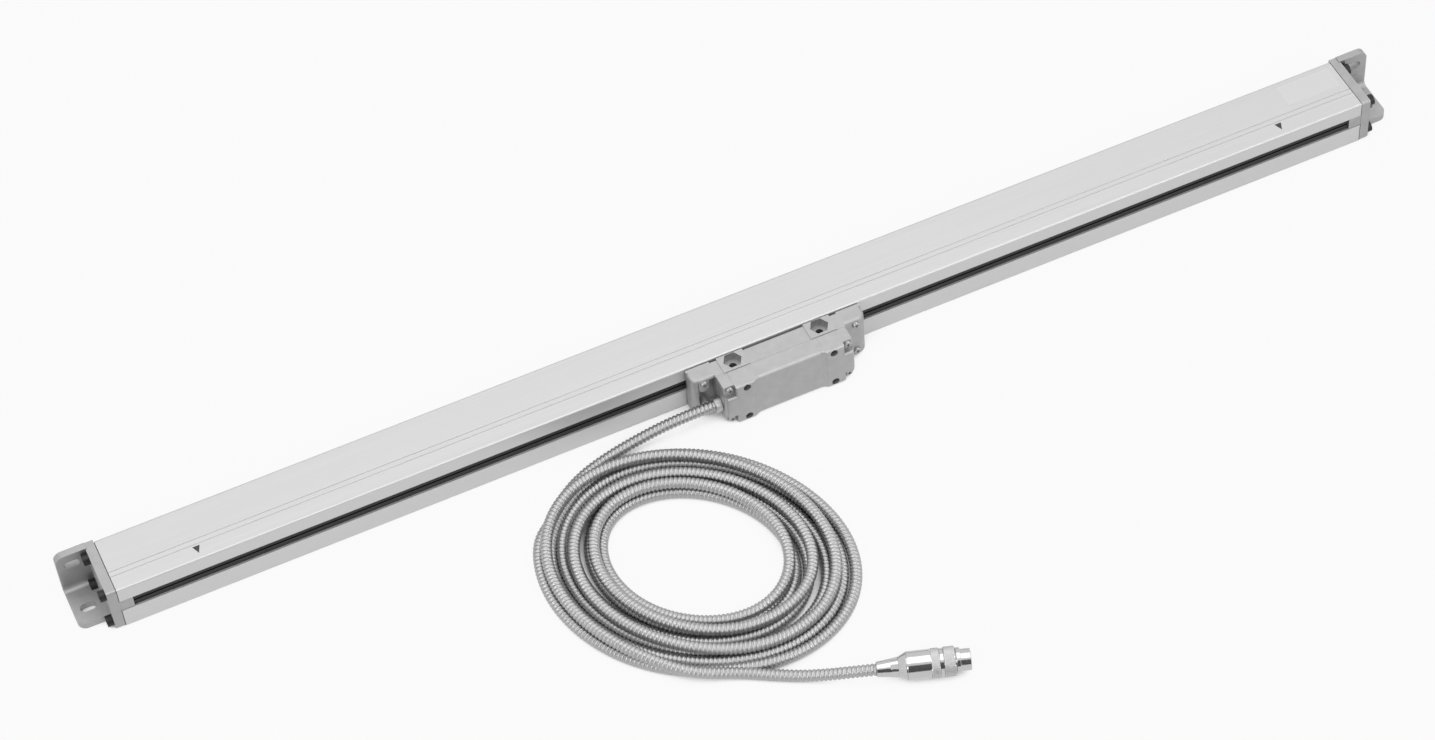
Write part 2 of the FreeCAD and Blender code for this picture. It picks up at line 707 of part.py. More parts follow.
def flange_root(side, word, low_y):
    """The hollow casting corner between the two flanges."""
    start, end = side_span(side, plate_outer - OVER, plate_outer + d.flange_reach)
    radius = d.flange_root_radius
    top = d.low_flange_thickness
    block = box(
        "root_block_" + word, start, low_y - radius, top - OVER,
        end - start, radius + OVER, radius + OVER)
    round_tool = cylinder(
        "root_round_" + word, start, low_y - radius, top + radius, radius,
        end - start, "+X")
    above = box(
        "root_above_" + word, start, low_y - 2 * radius, top + radius,
        end - start, 3 * radius, radius)
    return cut("root_" + word, block, [round_tool, above])


def make_end_cap(side, word):
    near, far = side_span(side, plate_inner, plate_outer)
    start, end = side_span(side, plate_outer - OVER, plate_outer + d.flange_reach)
    flange_back = back_y + d.back_flange_proud
    flange_front = flange_back - d.back_flange_thickness
    flange_top = d.body_height + d.back_flange_rise
    plate = padded("plate_" + word, "YZ_Plane", [
        (front_y, 0),
        (flange_back, 0),
        (flange_back, d.body_height),
        (front_y, d.body_height),
    ], d.cap_thickness)
    round_edges(
        plate, d.cap_corner_radius,
        lambda a, b: close_to(a.y, front_y.value) and close_to(b.y, front_y.value)
        and close_to(a.z, b.z))
    place(plate, near, 0, 0)
    back_flange = flange_body("back_flange_" + word, side, "XZ_Plane", [
        (start, 0),
        (end, 0),
        (end, flange_top),
        (start, flange_top),
    ], d.back_flange_thickness, lambda a, b: a.z > OVER and close_to(a.z, b.z))
    place(back_flange, 0, flange_back, 0)
    low_flange = flange_body("low_flange_" + word, side, "XY_Plane", [
        (start, front_y + d.low_flange_front),
        (end, front_y + d.low_flange_front),
        (end, flange_front + OVER),
        (start, flange_front + OVER),
    ], d.low_flange_thickness, lambda a, b: a.y < 0 and close_to(a.y, b.y))
    tongue_x = side_span(side, half_length - d.tongue_length, plate_inner + OVER)
    tongue = span_box(
        "tongue_" + word, tongue_x,
        (front_y + d.tongue_setback, cavity_front),
        (d.slot_low + d.tongue_gap, d.slot_high - d.tongue_gap))
    root = flange_root(side, word, flange_front)
    solid = fuse("cap_solid_" + word, [plate, back_flange, low_flange, root, tongue])
    slot_x = side * (plate_outer + d.slot_reach)
    tools = [
        slot_tool("low_slot_" + word, slot_x, d.foot_slot_y, -OVER, "+Z"),
        slot_tool("back_slot_" + word, slot_x, 0, d.foot_slot_z, "+Y"),
    ]
    for index, (y, z) in enumerate(end_screw_places()):
        tools.append(cylinder(
            "cap_hole_%s_%d" % (word, index), near, y, z, end_shank, far - near, "+X"))
        room = side_span(side, screw_seat, screw_seat + d.end_head_height + d.end_head_room)
        tools.append(cylinder(
            "head_room_%s_%d" % (word, index), room[0], y, z,
            d.end_head_radius + d.end_head_room, room[1] - room[0], "+X"))
    return keep("end_cap_" + word, cut("cap_cut_" + word, solid, tools))


def make_end_gasket(side, word):
    near, far = side_span(side, half_length, plate_inner)
    sheet_body = span_box(
        "gasket_sheet_" + word, (near, far), (front_y, back_y),
        (d.foot_edge_radius, d.body_height - d.back_edge_radius))
    window = span_box(
        "gasket_window_" + word, (near, far),
        (front_y - OVER, cavity_back), (d.slot_low, d.slot_high))
    room = span_box(
        "gasket_room_" + word, (near, far),
        (screw_front_y + d.boss_margin, screw_back_y - d.boss_margin),
        (d.body_wall, d.end_screw_high - d.boss_margin))
    tools = [window, room]
    for index, (y, z) in enumerate(end_screw_places()):
        tools.append(cylinder(
            "gasket_hole_%s_%d" % (word, index), near, y, z, end_shank, far - near, "+X"))
    return keep("end_gasket_" + word, cut("gasket_cut_" + word, sheet_body, tools))


def socket_screw(name, side, y, z):
    outward = "+X" if side > 0 else "-X"
    seat = side * screw_seat
    tip = side * (half_length - d.end_screw_reach)
    head = cylinder(
        name + "_head", seat, y, z, d.end_head_radius, d.end_head_height, outward)
    shank = cylinder(
        name + "_shank", tip, y, z, d.end_screw_radius,
        screw_seat - half_length + d.end_screw_reach + OVER, outward)
    socket = hexagon(
        name + "_socket", seat + side * (d.end_head_height - d.end_socket_depth), y, z,
        d.end_socket_radius, d.end_socket_depth + OVER, outward)
    return cut(name, fuse(name + "_solid", [head, shank]), [socket])


def make_end_screws(side, word):
    screws = []
    for index, (y, z) in enumerate(end_screw_places()):
        screws.append(socket_screw("end_screw_%s_%d" % (word, index), side, y, z))
    return keep("end_screws_" + word, group("end_screw_group_" + word, screws))


def make_buffer(side, word):
    travel_end = side * d.measuring_centre + d.measuring_length / 2 + d.overtravel
    tip = travel_end + half_carriage + d.buffer_gap
    low, high = side_span(side, tip, plate_inner)
    item = cylinder(
        "buffer_" + word, low, 0, (d.carriage_low + carriage_top) / 2,
        d.buffer_radius, high - low, "+X")
    return keep("end_buffer_" + word, item)


def make_lip(word, root_z, groove_z, tip_z):
    """A rubber lip: its root sits in the groove and its blade leans out."""
    length = body_length - 2 * (d.tongue_length + d.lip_end_gap)
    middle = (groove_front + groove_back) / 2
    body = padded("lip_" + word, "YZ_Plane", [
        (groove_front, groove_z),
        (groove_back, groove_z),
        (groove_back, root_z),
        (middle + d.lip_thickness / 2 - d.lip_lean, tip_z),
        (middle - d.lip_thickness / 2 - d.lip_lean, tip_z),
        (groove_front, root_z),
    ], length)
    place(body, -length / 2, 0, 0)
    return keep(word + "_lip_seal", body)


def make_lips():
    make_lip(
        "upper", d.slot_high, d.slot_high + d.lip_groove_depth, blade_top + d.lip_tip_gap)
    make_lip(
        "lower", d.slot_low, d.slot_low - d.lip_groove_depth, d.blade_low - d.lip_tip_gap)


def make_glass():
    keep("glass_scale", span_box(
        "glass", (-half_glass, half_glass), (d.glass_front, glass_back),
        (glass_low, glass_top)))
    keep("glass_seat_strip", span_box(
        "strip", (-half_glass, half_glass), (glass_back, strip_back),
        (ceiling_z - d.rail_depth, glass_top)))


def make_marks():
    marks = []
    tip = front_y + d.mark_front
    for word, side in (("left", -1), ("right", 1)):
        mark = padded("mark_" + word, "XY_Plane", [
            (0, tip),
            (d.mark_width / 2, tip + d.mark_depth),
            (-d.mark_width / 2, tip + d.mark_depth),
        ], d.foil_thickness)
        place(mark, d.measuring_centre + side * d.measuring_length / 2, 0, d.body_height)
        marks.append(mark)
    keep("travel_marks", group("mark_group", marks))
    plate_right = half_length - d.plate_end_gap
    plate_low = front_y + d.plate_front
    keep("rating_plate", span_box(
        "plate_foil", (plate_right - d.plate_length, plate_right),
        (plate_low, plate_low + d.plate_width),
        (d.body_height, d.body_height + d.foil_thickness)))


def reader_span(low, high):
    return (d.reader_x + low, d.reader_x + high)


def pan_screw(name, x, y, z, length):
    """A cross-recessed pan head screw that points to the back."""
    head = turned(name + "_head", [
        (0, 0),
        (0, d.small_head_radius),
        (0.5 * d.small_head_height, d.small_head_radius),
        (0.85 * d.small_head_height, 0.8 * d.small_head_radius),
        (d.small_head_height, 0.5 * d.small_head_radius),
        (d.small_head_height, 0),
    ], x, y, z, TURNED_TO["-Y"])
    shank = cylinder(
        name + "_shank", x, y - d.cross_depth / 2, z, d.small_screw_radius,
        length + d.cross_depth / 2, "+Y")
    floor_y = y - d.small_head_height + d.cross_depth
    half_long = d.cross_length / 2
    half_wide = d.cross_width / 2
    depth = d.cross_depth + OVER
    flat = box(
        name + "_flat", x - half_long, floor_y - depth, z - half_wide,
        d.cross_length, depth, d.cross_width)
    tall = box(
        name + "_tall", x - half_wide, floor_y - depth, z - half_long,
        d.cross_width, depth, d.cross_length)
    return cut(name, fuse(name + "_solid", [head, shank]), [flat, tall])


def cover_screw_places():
    places = []
    for side in (-1, 1):
        for z in (d.cover_screw_low, d.cover_screw_high):
            places.append((d.reader_x + side * d.cover_screw_x, z))
    return places


def bracket_screw_places():
    places = []
    for side in (-1, 1):
        for z in (d.bracket_screw_low, d.bracket_screw_high):
            places.append((d.reader_x + side * (head_half + d.bracket_screw_reach), z))
    return places


def make_reader_base():
    block = span_box(
        "base_block", reader_span(-head_half, head_half), (seam_y, base_back),
        (d.head_low, d.head_top))
    solids = [block]
    tools = []
    for side, word in ((-1, "left"), (1, "right")):
        middle = side * d.hole_spacing_x / 2
        solids.append(span_box(
            "pad_" + word, reader_span(middle - d.pad_width / 2, middle + d.pad_width / 2),
            (seam_y, pad_back), (d.head_low, d.head_top + d.pad_rise)))
        wing = side_span(side, head_half - OVER, head_half + d.bracket_width)
        solids.append(span_box(
            "wing_" + word, reader_span(wing[0], wing[1]), (wing_front, pad_back),
            (d.head_low, d.head_top)))
        nut_z = d.head_top + d.pad_rise - d.nut_depth
        x = d.reader_x + middle
        y = front_y - d.nut_y
        tools.append(hexagon(
            "nut_pocket_" + word, x, y, nut_z, d.nut_across / math.sqrt(3), d.nut_depth + OVER,
            "+Z"))
        tools.append(cylinder(
            "nut_hole_" + word, x, y, -OVER, d.hole_radius, nut_z + 2 * OVER, "+Z"))
    tools.append(span_box(
        "base_pocket", reader_span(-d.pocket_half, d.pocket_half),
        (seam_y - OVER, seam_y + d.pocket_depth), (d.pocket_low, d.pocket_high)))
    tools.append(span_box(
        "blade_slot", reader_span(-d.blade_half_width, d.blade_half_width),
        (-d.blade_root, pad_back + OVER), (d.blade_low, blade_top)))
    for index, (x, z) in enumerate(cover_screw_places()):
        tools.append(cylinder(
            "base_hole_%d" % index, x, seam_y - OVER, z, small_shank,
            d.cover_screw_length / 2, "+Y"))
    for index, (x, z) in enumerate(bracket_screw_places()):
        tools.append(cylinder(
            "wing_hole_%d" % index, x, wing_front - OVER, z, small_shank,
            d.wing_thickness + 2 * OVER, "+Y"))
    return keep("reader_base", cut("base_cut", fuse("base_solid", solids), tools))


def make_cover_gasket():
    ring = span_box(
        "cover_ring", reader_span(-head_half, head_half), (cover_back, seam_y),
        (d.head_low + d.gasket_setback, d.head_top - d.gasket_setback))
    tools = [span_box(
        "ring_window", reader_span(-d.band_inner, d.band_inner), (cover_back, seam_y),
        (d.head_low + d.cover_wall, d.head_top - d.cover_wall))]
    for index, (x, z) in enumerate(cover_screw_places()):
        tools.append(cylinder(
            "ring_hole_%d" % index, x, cover_back, z, small_shank,
            d.cover_gasket_thickness, "+Y"))
    tools.append(span_box(
        "ring_gland_room", reader_span(-gland_inner, -d.band_inner), (cover_back, seam_y),
        (d.gland_z - d.gland_room, d.gland_z + d.gland_room)))
    return keep("cover_gasket", cut("ring_cut", ring, tools))


def cover_block():
    outline = [
        (-head_half, d.head_low),
        (head_half, d.head_low),
        (head_half, d.head_top),
        (-head_half, d.head_top),
    ]
    body = padded("cover_block", "XZ_Plane", outline, cover_back - cover_y)
    middle = value_of(d.head_low + d.head_top) / 2
    round_edges(
        body, d.cover_corner_radius,
        lambda a, b: close_to(a.x, b.x) and close_to(a.z, b.z) and a.z < middle)
    round_edges(
        body, d.cover_top_radius,
        lambda a, b: (close_to(a.x, b.x) and close_to(a.z, b.z) and a.z > middle
                      and not close_to(a.y, b.y)))
    depth = value_of(cover_back - cover_y)
    round_edges(
        body, d.cover_edge_radius,
        lambda a, b: close_to(a.y, -depth) and close_to(b.y, -depth))
    place(body, d.reader_x, cover_back, 0)
    return body


def cover_band(side, word):
    """A band that reaches almost to the cover's end between the two screw ledges."""
    low = d.head_low + d.band_low_gap
    top = d.head_top + d.band_rise
    inner = side * d.band_inner
    outer = side * d.band_outer
    end = side * (head_half - d.band_end_gap)
    outline = [
        (inner, low),
        (outer, low),
        (outer, d.low_ledge_top),
        (end, d.low_ledge_top),
        (end, top_ledge),
        (outer, top_ledge),
        (outer, top),
        (inner, top),
    ]
    depth = cover_back - band_y
    body = padded("band_" + word, "XZ_Plane", outline, depth)
    front = -value_of(depth)
    round_edges(
        body, d.band_edge_radius,
        lambda a, b: close_to(a.y, front) and close_to(b.y, front))
    place(body, d.reader_x, cover_back, 0)
    return body


def band_slope(side, word):
    """The slope from a band down to the middle of the cover."""
    root = cover_y + d.band_edge_radius + d.cover_edge_radius
    flat_end = side * (d.band_inner + d.band_flat)
    foot = side * (d.band_inner - d.band_ramp)
    low = d.head_low + d.band_low_gap
    outline = [(foot, cover_y), (flat_end, band_y), (flat_end, root), (foot, root)]
    body = padded("band_slope_" + word, "XY_Plane", outline, d.head_top + d.band_rise - low)
    ramp_middle = (value_of(cover_y) + value_of(band_y)) / 2
    round_edges(
        body, d.band_edge_radius,
        lambda a, b: close_to(a.z, b.z) and close_to((a.y + b.y) / 2, ramp_middle))
    place(body, d.reader_x, 0, low)
    return body


def make_reader_cover():
    left_band = cover_band(-1, "left")
    right_band = cover_band(1, "right")
    slopes = [band_slope(-1, "left"), band_slope(1, "right")]
    solid = fuse("cover_solid", [cover_block(), left_band, right_band] + slopes)
    inside_front = cover_y + d.cover_wall
    tools = [
        span_box(
            "cover_room", reader_span(-d.band_inner, d.band_inner),
            (inside_front, cover_back + OVER),
            (d.head_low + d.cover_wall, d.head_top - d.cover_wall)),
        span_box(
            "cover_cross_room", reader_span(-gland_inner, gland_inner),
            (inside_front, cover_back + OVER),
            (d.low_ledge_top + d.ledge_wall, top_ledge - d.ledge_wall)),
    ]
    for side, word in ((-1, "left"), (1, "right")):
        corner = side_span(side, d.band_outer, head_half + OVER)
        tools.append(span_box(
            "low_ledge_" + word, reader_span(corner[0], corner[1]),
            (band_y, ledge_y), (-OVER, d.low_ledge_top)))
        tools.append(span_box(
            "top_ledge_" + word, reader_span(corner[0], corner[1]),
            (band_y, ledge_y), (top_ledge, d.head_top + d.band_rise + OVER)))
        for level, z in (("low", d.hole_low), ("high", d.hole_high)):
            tools.append(cylinder(
                "front_hole_%s_%s" % (word, level), d.reader_x + side * d.hole_spacing_x / 2,
                band_y, z, d.hole_radius, d.front_hole_depth, "+Y"))
    for index, (x, z) in enumerate(cover_screw_places()):
        tools.append(cylinder(
            "cover_hole_%d" % index, x, ledge_y - OVER, z, small_shank, d.cover_front, "+Y"))
    tools.append(cylinder(
        "gland_hole", d.reader_x - head_half - OVER, gland_axis_y, d.gland_z,
        d.gland_thread_radius + d.gland_fit, d.cover_wall + 2 * OVER, "+X"))
    return keep("reader_cover", cut("cover_cut", solid, tools))


def make_cover_screws():
    screws = []
    for index, (x, z) in enumerate(cover_screw_places()):
        length = d.cover_screw_length
        screws.append(pan_screw("cover_screw_%d" % index, x, ledge_y, z, length))
    return keep("cover_screws", group("cover_screw_group", screws))


def bracket_block(side, word):
    near, far = side_span(side, head_half, head_half + d.bracket_width)
    body = padded("bracket_block_" + word, "XZ_Plane", [
        (near, d.head_low),
        (far, d.head_low),
        (far, d.head_top),
        (near, d.head_top),
    ], wing_front - bracket_y)
    outer = value_of(far if side > 0 else near)
    front = -value_of(wing_front - bracket_y)
    low = d.head_low.value
    top = d.head_top.value
    round_edges(
        body, d.bracket_corner,
        lambda a, b: (close_to(a.x, outer) and close_to(b.x, outer)
                      and close_to(a.y, front) and close_to(b.y, front)))
    round_edges(
        body, d.bracket_radius,
        lambda a, b: (close_to(a.x, outer) and close_to(b.x, outer) and close_to(a.z, b.z)
                      and close_to(a.z, low))
        or (close_to(a.y, front) and close_to(b.y, front)
            and close_to(a.z, top) and close_to(b.z, top)))
    place(body, d.reader_x, wing_front, 0)
    return body


def recess_with_lugs():
    """The recess for the armoured cable, less the two lugs of its screws."""
    outer = -head_half - d.bracket_width
    column = outer + d.recess_column
    floor_y = bracket_y + d.recess_depth
    room = span_box(
        "recess_room", reader_span(column, -head_half + OVER),
        (bracket_y - OVER, floor_y), (-OVER, d.recess_top))
    axis_x = -head_half - d.bracket_screw_reach
    depth = d.recess_depth + 2 * OVER
    high_end = d.bracket_screw_high - d.lug_reach
    low_end = d.bracket_screw_low + d.lug_reach
    sides = reader_span(axis_x - d.lug_radius, axis_x + d.lug_radius)
    lug_y = (bracket_y - 2 * OVER, floor_y)
    lugs = [
        span_box("high_lug", sides, lug_y, (high_end, d.recess_top + OVER)),
        span_box("low_lug", sides, lug_y, (-2 * OVER, low_end)),
        cylinder(
            "high_lug_end", d.reader_x + axis_x, lug_y[0], high_end, d.lug_radius,
            depth, "+Y"),
        cylinder(
            "low_lug_end", d.reader_x + axis_x, lug_y[0], low_end, d.lug_radius,
            depth, "+Y"),
    ]
    return cut("recess", room, lugs)


def make_side_bracket(side, word):
    tools = []
    for index, (x, z) in enumerate(bracket_screw_places()):
        if (index >= 2) == (side > 0):
            tools.append(cylinder(
                "bracket_hole_%d" % index, x, bracket_y - OVER, z, small_shank,
                d.bracket_front, "+Y"))
    if side < 0:
        tools.append(recess_with_lugs())
    item = cut("bracket_cut_" + word, bracket_block(side, word), tools)
    return keep("side_bracket_" + word, item)


def make_bracket_screws():
    screws = []
    length = pad_back - bracket_y - d.bracket_screw_room
    for index, (x, z) in enumerate(bracket_screw_places()):
        screws.append(pan_screw("bracket_screw_%d" % index, x, bracket_y, z, length))
    return keep("bracket_screws", group("bracket_screw_group", screws))


def make_blade():
    outer = span_box(
        "blade_outer", reader_span(-d.blade_half_width, d.blade_half_width),
        (-d.blade_root, -d.blade_inner), (d.blade_low, blade_top))
    tail = span_box(
        "blade_tail", reader_span(-d.blade_tail, d.blade_half_width),
        (cavity_front + d.blade_wall_gap, -d.blade_inner), (d.blade_low, blade_top))
    post = span_box(
        "wire_post", reader_span(-d.blade_tail, -d.blade_tail + d.wire_lug),
        (-d.wire_y - d.wire_cover, -d.wire_y + d.wire_cover),
        (d.blade_low, d.wire_z + d.wire_cover))
    groove = span_box(
        "flex_groove",
        reader_span(-d.flex_half_width - d.flex_gap, d.flex_half_width + d.flex_gap),
        (-d.blade_root - OVER, -d.blade_inner + OVER),
        (blade_top - d.flex_groove, blade_top + OVER))
    keep("coupling_blade", cut("blade_cut", fuse("blade_solid", [outer, tail, post]), [groove]))
    flex_low = blade_top - d.flex_groove
    keep("flat_cable", span_box(
        "flex", reader_span(-d.flex_half_width, d.flex_half_width),
        (-d.blade_root, -d.carriage_front), (flex_low, flex_low + d.flex_thickness)))
    wire_end = d.blade_tail - d.wire_lug
    keep("coupling_wire", cylinder(
        "wire", d.reader_x - wire_end, -d.wire_y, d.wire_z, d.wire_radius,
        2 * wire_end, "+X"))


def axle_places():
    """Each roller: number, X, Y and Z of its near end, and its direction."""
    return [
        (1, d.reader_x - d.side_roller_x, side_roller_y, side_roller_z, "+Z"),
        (2, d.reader_x + d.side_roller_x, side_roller_y, side_roller_z, "+Z"),
        (3, d.reader_x, back_roller_y, side_roller_z, "+Z"),
        (4, d.reader_x - d.edge_roller_x, edge_roller_y, edge_roller_z, "+Y"),
        (5, d.reader_x + d.edge_roller_x, edge_roller_y, edge_roller_z, "+Y"),
    ]


def make_carriage():
    front = -d.carriage_front
    half = half_carriage
    back_face = d.carriage_back - d.back_upright
    front_face = front + d.front_upright
    roller_pad = span_box(
        "back_roller_pad", reader_span(-d.roller_radius, d.roller_radius),
        (back_face - d.roller_pad_depth, d.carriage_back), (carriage_top, d.upright_top))
    solids = [
        span_box(
            "carriage_base_block", reader_span(-half, half), (front, d.carriage_back),
            (d.carriage_low, carriage_top)),
        span_box(
            "front_upright_block", reader_span(-half, half), (front, front_face),
            (d.carriage_low, d.upright_top)),
        span_box(
            "back_upright_block", reader_span(-half, half), (back_face, d.carriage_back),
            (d.carriage_low, d.upright_top)),
        span_box(
            "optic_front", reader_span(d.optic_left, optic_right),
            (front + d.board_thickness, d.glass_front - d.reticle_gap - d.reticle_thickness),
            (d.upright_top - OVER, d.optic_top)),
        span_box(
            "optic_back", reader_span(d.optic_left, optic_right),
            (back_face - d.optic_back_depth, d.carriage_back - d.board_thickness),
            (d.upright_top - OVER, d.optic_top)),
        span_box(
            "wire_lug", reader_span(d.blade_tail - d.wire_lug, d.blade_tail),
            (-d.wire_y - d.wire_cover, front + OVER),
            (carriage_top, d.wire_z + d.wire_cover)),
        roller_pad,
    ]
    tools = []
    hole = d.axle_radius + d.axle_seat_gap
    depth = d.axle_depth + d.axle_hole_room
    for number, x, y, z, along in axle_places():
        if along == "+Z":
            tools.append(cylinder(
                "axle_hole_%d" % number, x, y, z - depth, hole, depth, along))
        else:
            tools.append(cylinder(
                "axle_hole_%d" % number, x, front + d.edge_axle_start - d.axle_hole_room, z,
                hole, d.carriage_front + d.carriage_back, along))
    tools.append(cylinder(
        "light_path", lens_x, front, lens_z, d.led_radius,
        d.carriage_front + d.carriage_back, "+Y"))
    return keep("scanning_carriage", cut("carriage_cut", fuse("carriage_solid", solids), tools))


def make_axles():
    axles = []
    for number, x, y, z, along in axle_places():
        if along == "+Z":
            pin = cylinder(
                "axle_%d_pin" % number, x, y, z - d.axle_depth, d.axle_radius,
                d.axle_depth + d.roller_width + d.axle_head_gap, along)
            head = cylinder(
                "axle_%d_head" % number, x, y, z + d.roller_width + d.axle_head_gap,
                d.axle_head_radius, d.axle_head_height, along)
            axles.append(fuse("axle_%d" % number, [pin, head]))
        else:
            start = -d.carriage_front + d.edge_axle_start
            axles.append(cylinder(
                "axle_%d" % number, x, start, z, d.axle_radius,
                d.carriage_back - start, along))
    return keep("roller_axles", group("axle_group", axles))


def make_rollers():
    """Ball bearings that run on the glass, each drawn as one ring."""
    bore = d.axle_radius + d.axle_fit
    bevel = d.roller_bevel
    for number, x, y, z, along in axle_places():
        ring = turned("roller_%d" % number, [
            (0, bore),
            (0, d.roller_radius - bevel),
            (bevel, d.roller_radius),
            (d.roller_width - bevel, d.roller_radius),
            (d.roller_width, d.roller_radius - bevel),
            (d.roller_width, bore),
        ], x, y, z, TURNED_TO[along])
        keep("guide_roller_%d" % number, ring)


def make_optics():
    reticle_y = d.glass_front - d.reticle_gap
    keep("index_reticle", span_box(
        "reticle", reader_span(d.optic_left + d.reticle_margin, optic_right - d.reticle_margin),
        (reticle_y - d.reticle_thickness, reticle_y),
        (d.upright_top - d.reticle_foot, d.optic_top)))
    board_front = -d.carriage_front
    board_x = reader_span(d.optic_left - d.board_left, optic_right + d.board_right)
    board_z = (d.upright_top, d.optic_top + d.board_rise)
    keep("detector_board", span_box(
        "detector", board_x, (board_front, board_front + d.board_thickness), board_z))
    keep("emitter_board", span_box(
        "emitter", board_x, (d.carriage_back - d.board_thickness, d.carriage_back), board_z))
    keep("emitter_lamp", cylinder(
        "lamp", lens_x, d.carriage_back - d.board_thickness, lens_z,
        d.led_radius - d.lamp_gap, d.lamp_length, "-Y"))


def make_signal_parts():
    board_front = seam_y - d.board_thickness
    keep("signal_board", span_box(
        "signal", reader_span(-d.signal_board_half, d.signal_board_half),
        (board_front, seam_y), (d.signal_board_low, d.signal_board_high)))
    chips = []
    for index, (x, z, length, height) in enumerate(CHIPS):
        chips.append(box(
            "chip_%d" % index, d.reader_x + x, board_front - d.chip_height, z,
            length, d.chip_height, height))
    keep("signal_chips", group("chip_group", chips))
    connector_x = -d.signal_board_half
    cable_band = (d.gland_z - d.clamp_half_height, d.gland_z + d.clamp_half_height)
    keep("board_connector", span_box(
        "connector", reader_span(connector_x, connector_x + d.connector_length),
        (gland_axis_y - d.connector_proud, board_front), cable_band))
    cable_start = d.reader_x - head_half - d.gland_length
    keep("sensor_cable", cylinder(
        "inner_cable", cable_start, gland_axis_y, d.gland_z, d.cable_radius,
        head_half + d.gland_length + connector_x, "+X"))
    clamp_block = span_box(
        "clamp_block", reader_span(-d.band_outer + d.clamp_start, -d.band_inner - d.clamp_end),
        (gland_axis_y - d.cable_radius - d.clamp_wall, seam_y), cable_band)
    clamp_hole = cylinder(
        "clamp_hole", d.reader_x - d.band_outer, gland_axis_y, d.gland_z,
        d.cable_radius + d.cable_fit, d.band_outer, "+X")
    keep("cable_clamp", cut("clamp_cut", clamp_block, [clamp_hole]))


def make_gland():
    face_x = d.reader_x - head_half
    bore = d.cable_radius + d.cable_fit
    nut_bore = d.gland_thread_radius + d.nut_fit
    reach = d.cover_wall + d.gland_nut_gap
    gland = turned("gland_turned", [
        (-d.gland_length, bore),
        (-d.gland_length, d.gland_radius - d.gland_chamfer),
        (-d.gland_length + d.gland_chamfer, d.gland_radius),
        (-d.gland_chamfer, d.gland_radius),
        (0, d.gland_radius - d.gland_chamfer),
        (0, d.gland_thread_radius),
        (reach + d.gland_nut_length, d.gland_thread_radius),
        (reach + d.gland_nut_length, bore),
    ], face_x, gland_axis_y, d.gland_z, TURNED_TO["+X"])
    keep("cable_gland", gland)
    nut = turned("gland_nut_turned", [
        (0, nut_bore),
        (0, d.gland_nut_radius),
        (d.gland_nut_length, d.gland_nut_radius),
        (d.gland_nut_length, nut_bore),
    ], face_x + reach, gland_axis_y, d.gland_z, TURNED_TO["+X"])
    keep("gland_nut", nut)


def plug_point(along):
    """A point on the plug's axis, as plain numbers."""
    angle = math.radians(d.plug_angle.value)
    return FreeCAD.Vector(
        d.plug_x.value + along * math.cos(angle),
        d.plug_y.value + along * math.sin(angle),
        d.plug_z.value)


def plug_piece(name, points):
    """A turned piece of the plug: its axis is the plug's axis."""
    turn = FreeCAD.Rotation(Z_AXIS, d.plug_angle.value)
    body = turned(name + "_turned", points, d.plug_x, d.plug_y, d.plug_z, turn)
    return keep(name, body)


def make_plug():
    body_end = d.shell_length + d.plug_body_length
    sleeve_end = body_end + d.ring_gap + d.ring_length + d.ring_gap
    front = sleeve_end + d.barrel_length
    bore = d.barrel_bore
    insert_end = front - d.insert_recess
    insert_start = insert_end - d.insert_length
    neck_radius = d.plug_body_radius - d.plug_step
    plug_piece("plug_backshell", [
        (0, d.shell_rear_bore),
        (0, d.shell_rear_radius),
        (d.shell_mid, d.shell_mid_radius),
        (d.shell_length, neck_radius),
        (d.shell_length, d.wire_bore),
        (d.shell_mid, d.shell_mid_bore),
    ])
    plug_piece("plug_body", [
        (d.shell_length, d.wire_bore),
        (d.shell_length, neck_radius),
        (d.shell_length + d.plug_chamfer, d.plug_body_radius),
        (body_end, d.plug_body_radius),
        (body_end, d.sleeve_radius),
        (sleeve_end, d.sleeve_radius),
        (sleeve_end, d.barrel_radius),
        (front - d.plug_chamfer, d.barrel_radius),
        (front, d.barrel_radius - d.plug_chamfer),
        (front, bore),
        (insert_start, bore),
        (insert_start, d.wire_bore),
    ])
    ring_start = body_end + d.ring_gap
    first = ring_start + d.ring_band_one
    second = first + d.ring_waist
    third = second + d.ring_band_two
    ring_end = ring_start + d.ring_length
    ring_bore = d.sleeve_radius + d.ring_fit
    first_radius = d.ring_radius - d.ring_rim + d.ring_rim_step
    plug_piece("coupling_ring", [
        (ring_start, ring_bore),
        (ring_start, d.ring_radius - d.ring_rim),
        (ring_start + d.ring_rim, first_radius),
        (first, first_radius),
        (first, d.ring_waist_radius),
        (second, d.ring_waist_radius),
        (second, d.ring_radius),
        (third, d.ring_radius),
        (third + d.ring_nose_slope, d.ring_nose_radius),
        (ring_end, d.ring_nose_radius),
        (ring_end, ring_bore),
    ])
    plug_piece("plug_insert", [
        (insert_start, 0),
        (insert_start, bore - d.insert_clearance),
        (insert_end, bore - d.insert_clearance),
        (insert_end, 0),
    ])
    keep("contact_pins", group("pin_group", contact_pins(insert_end)))


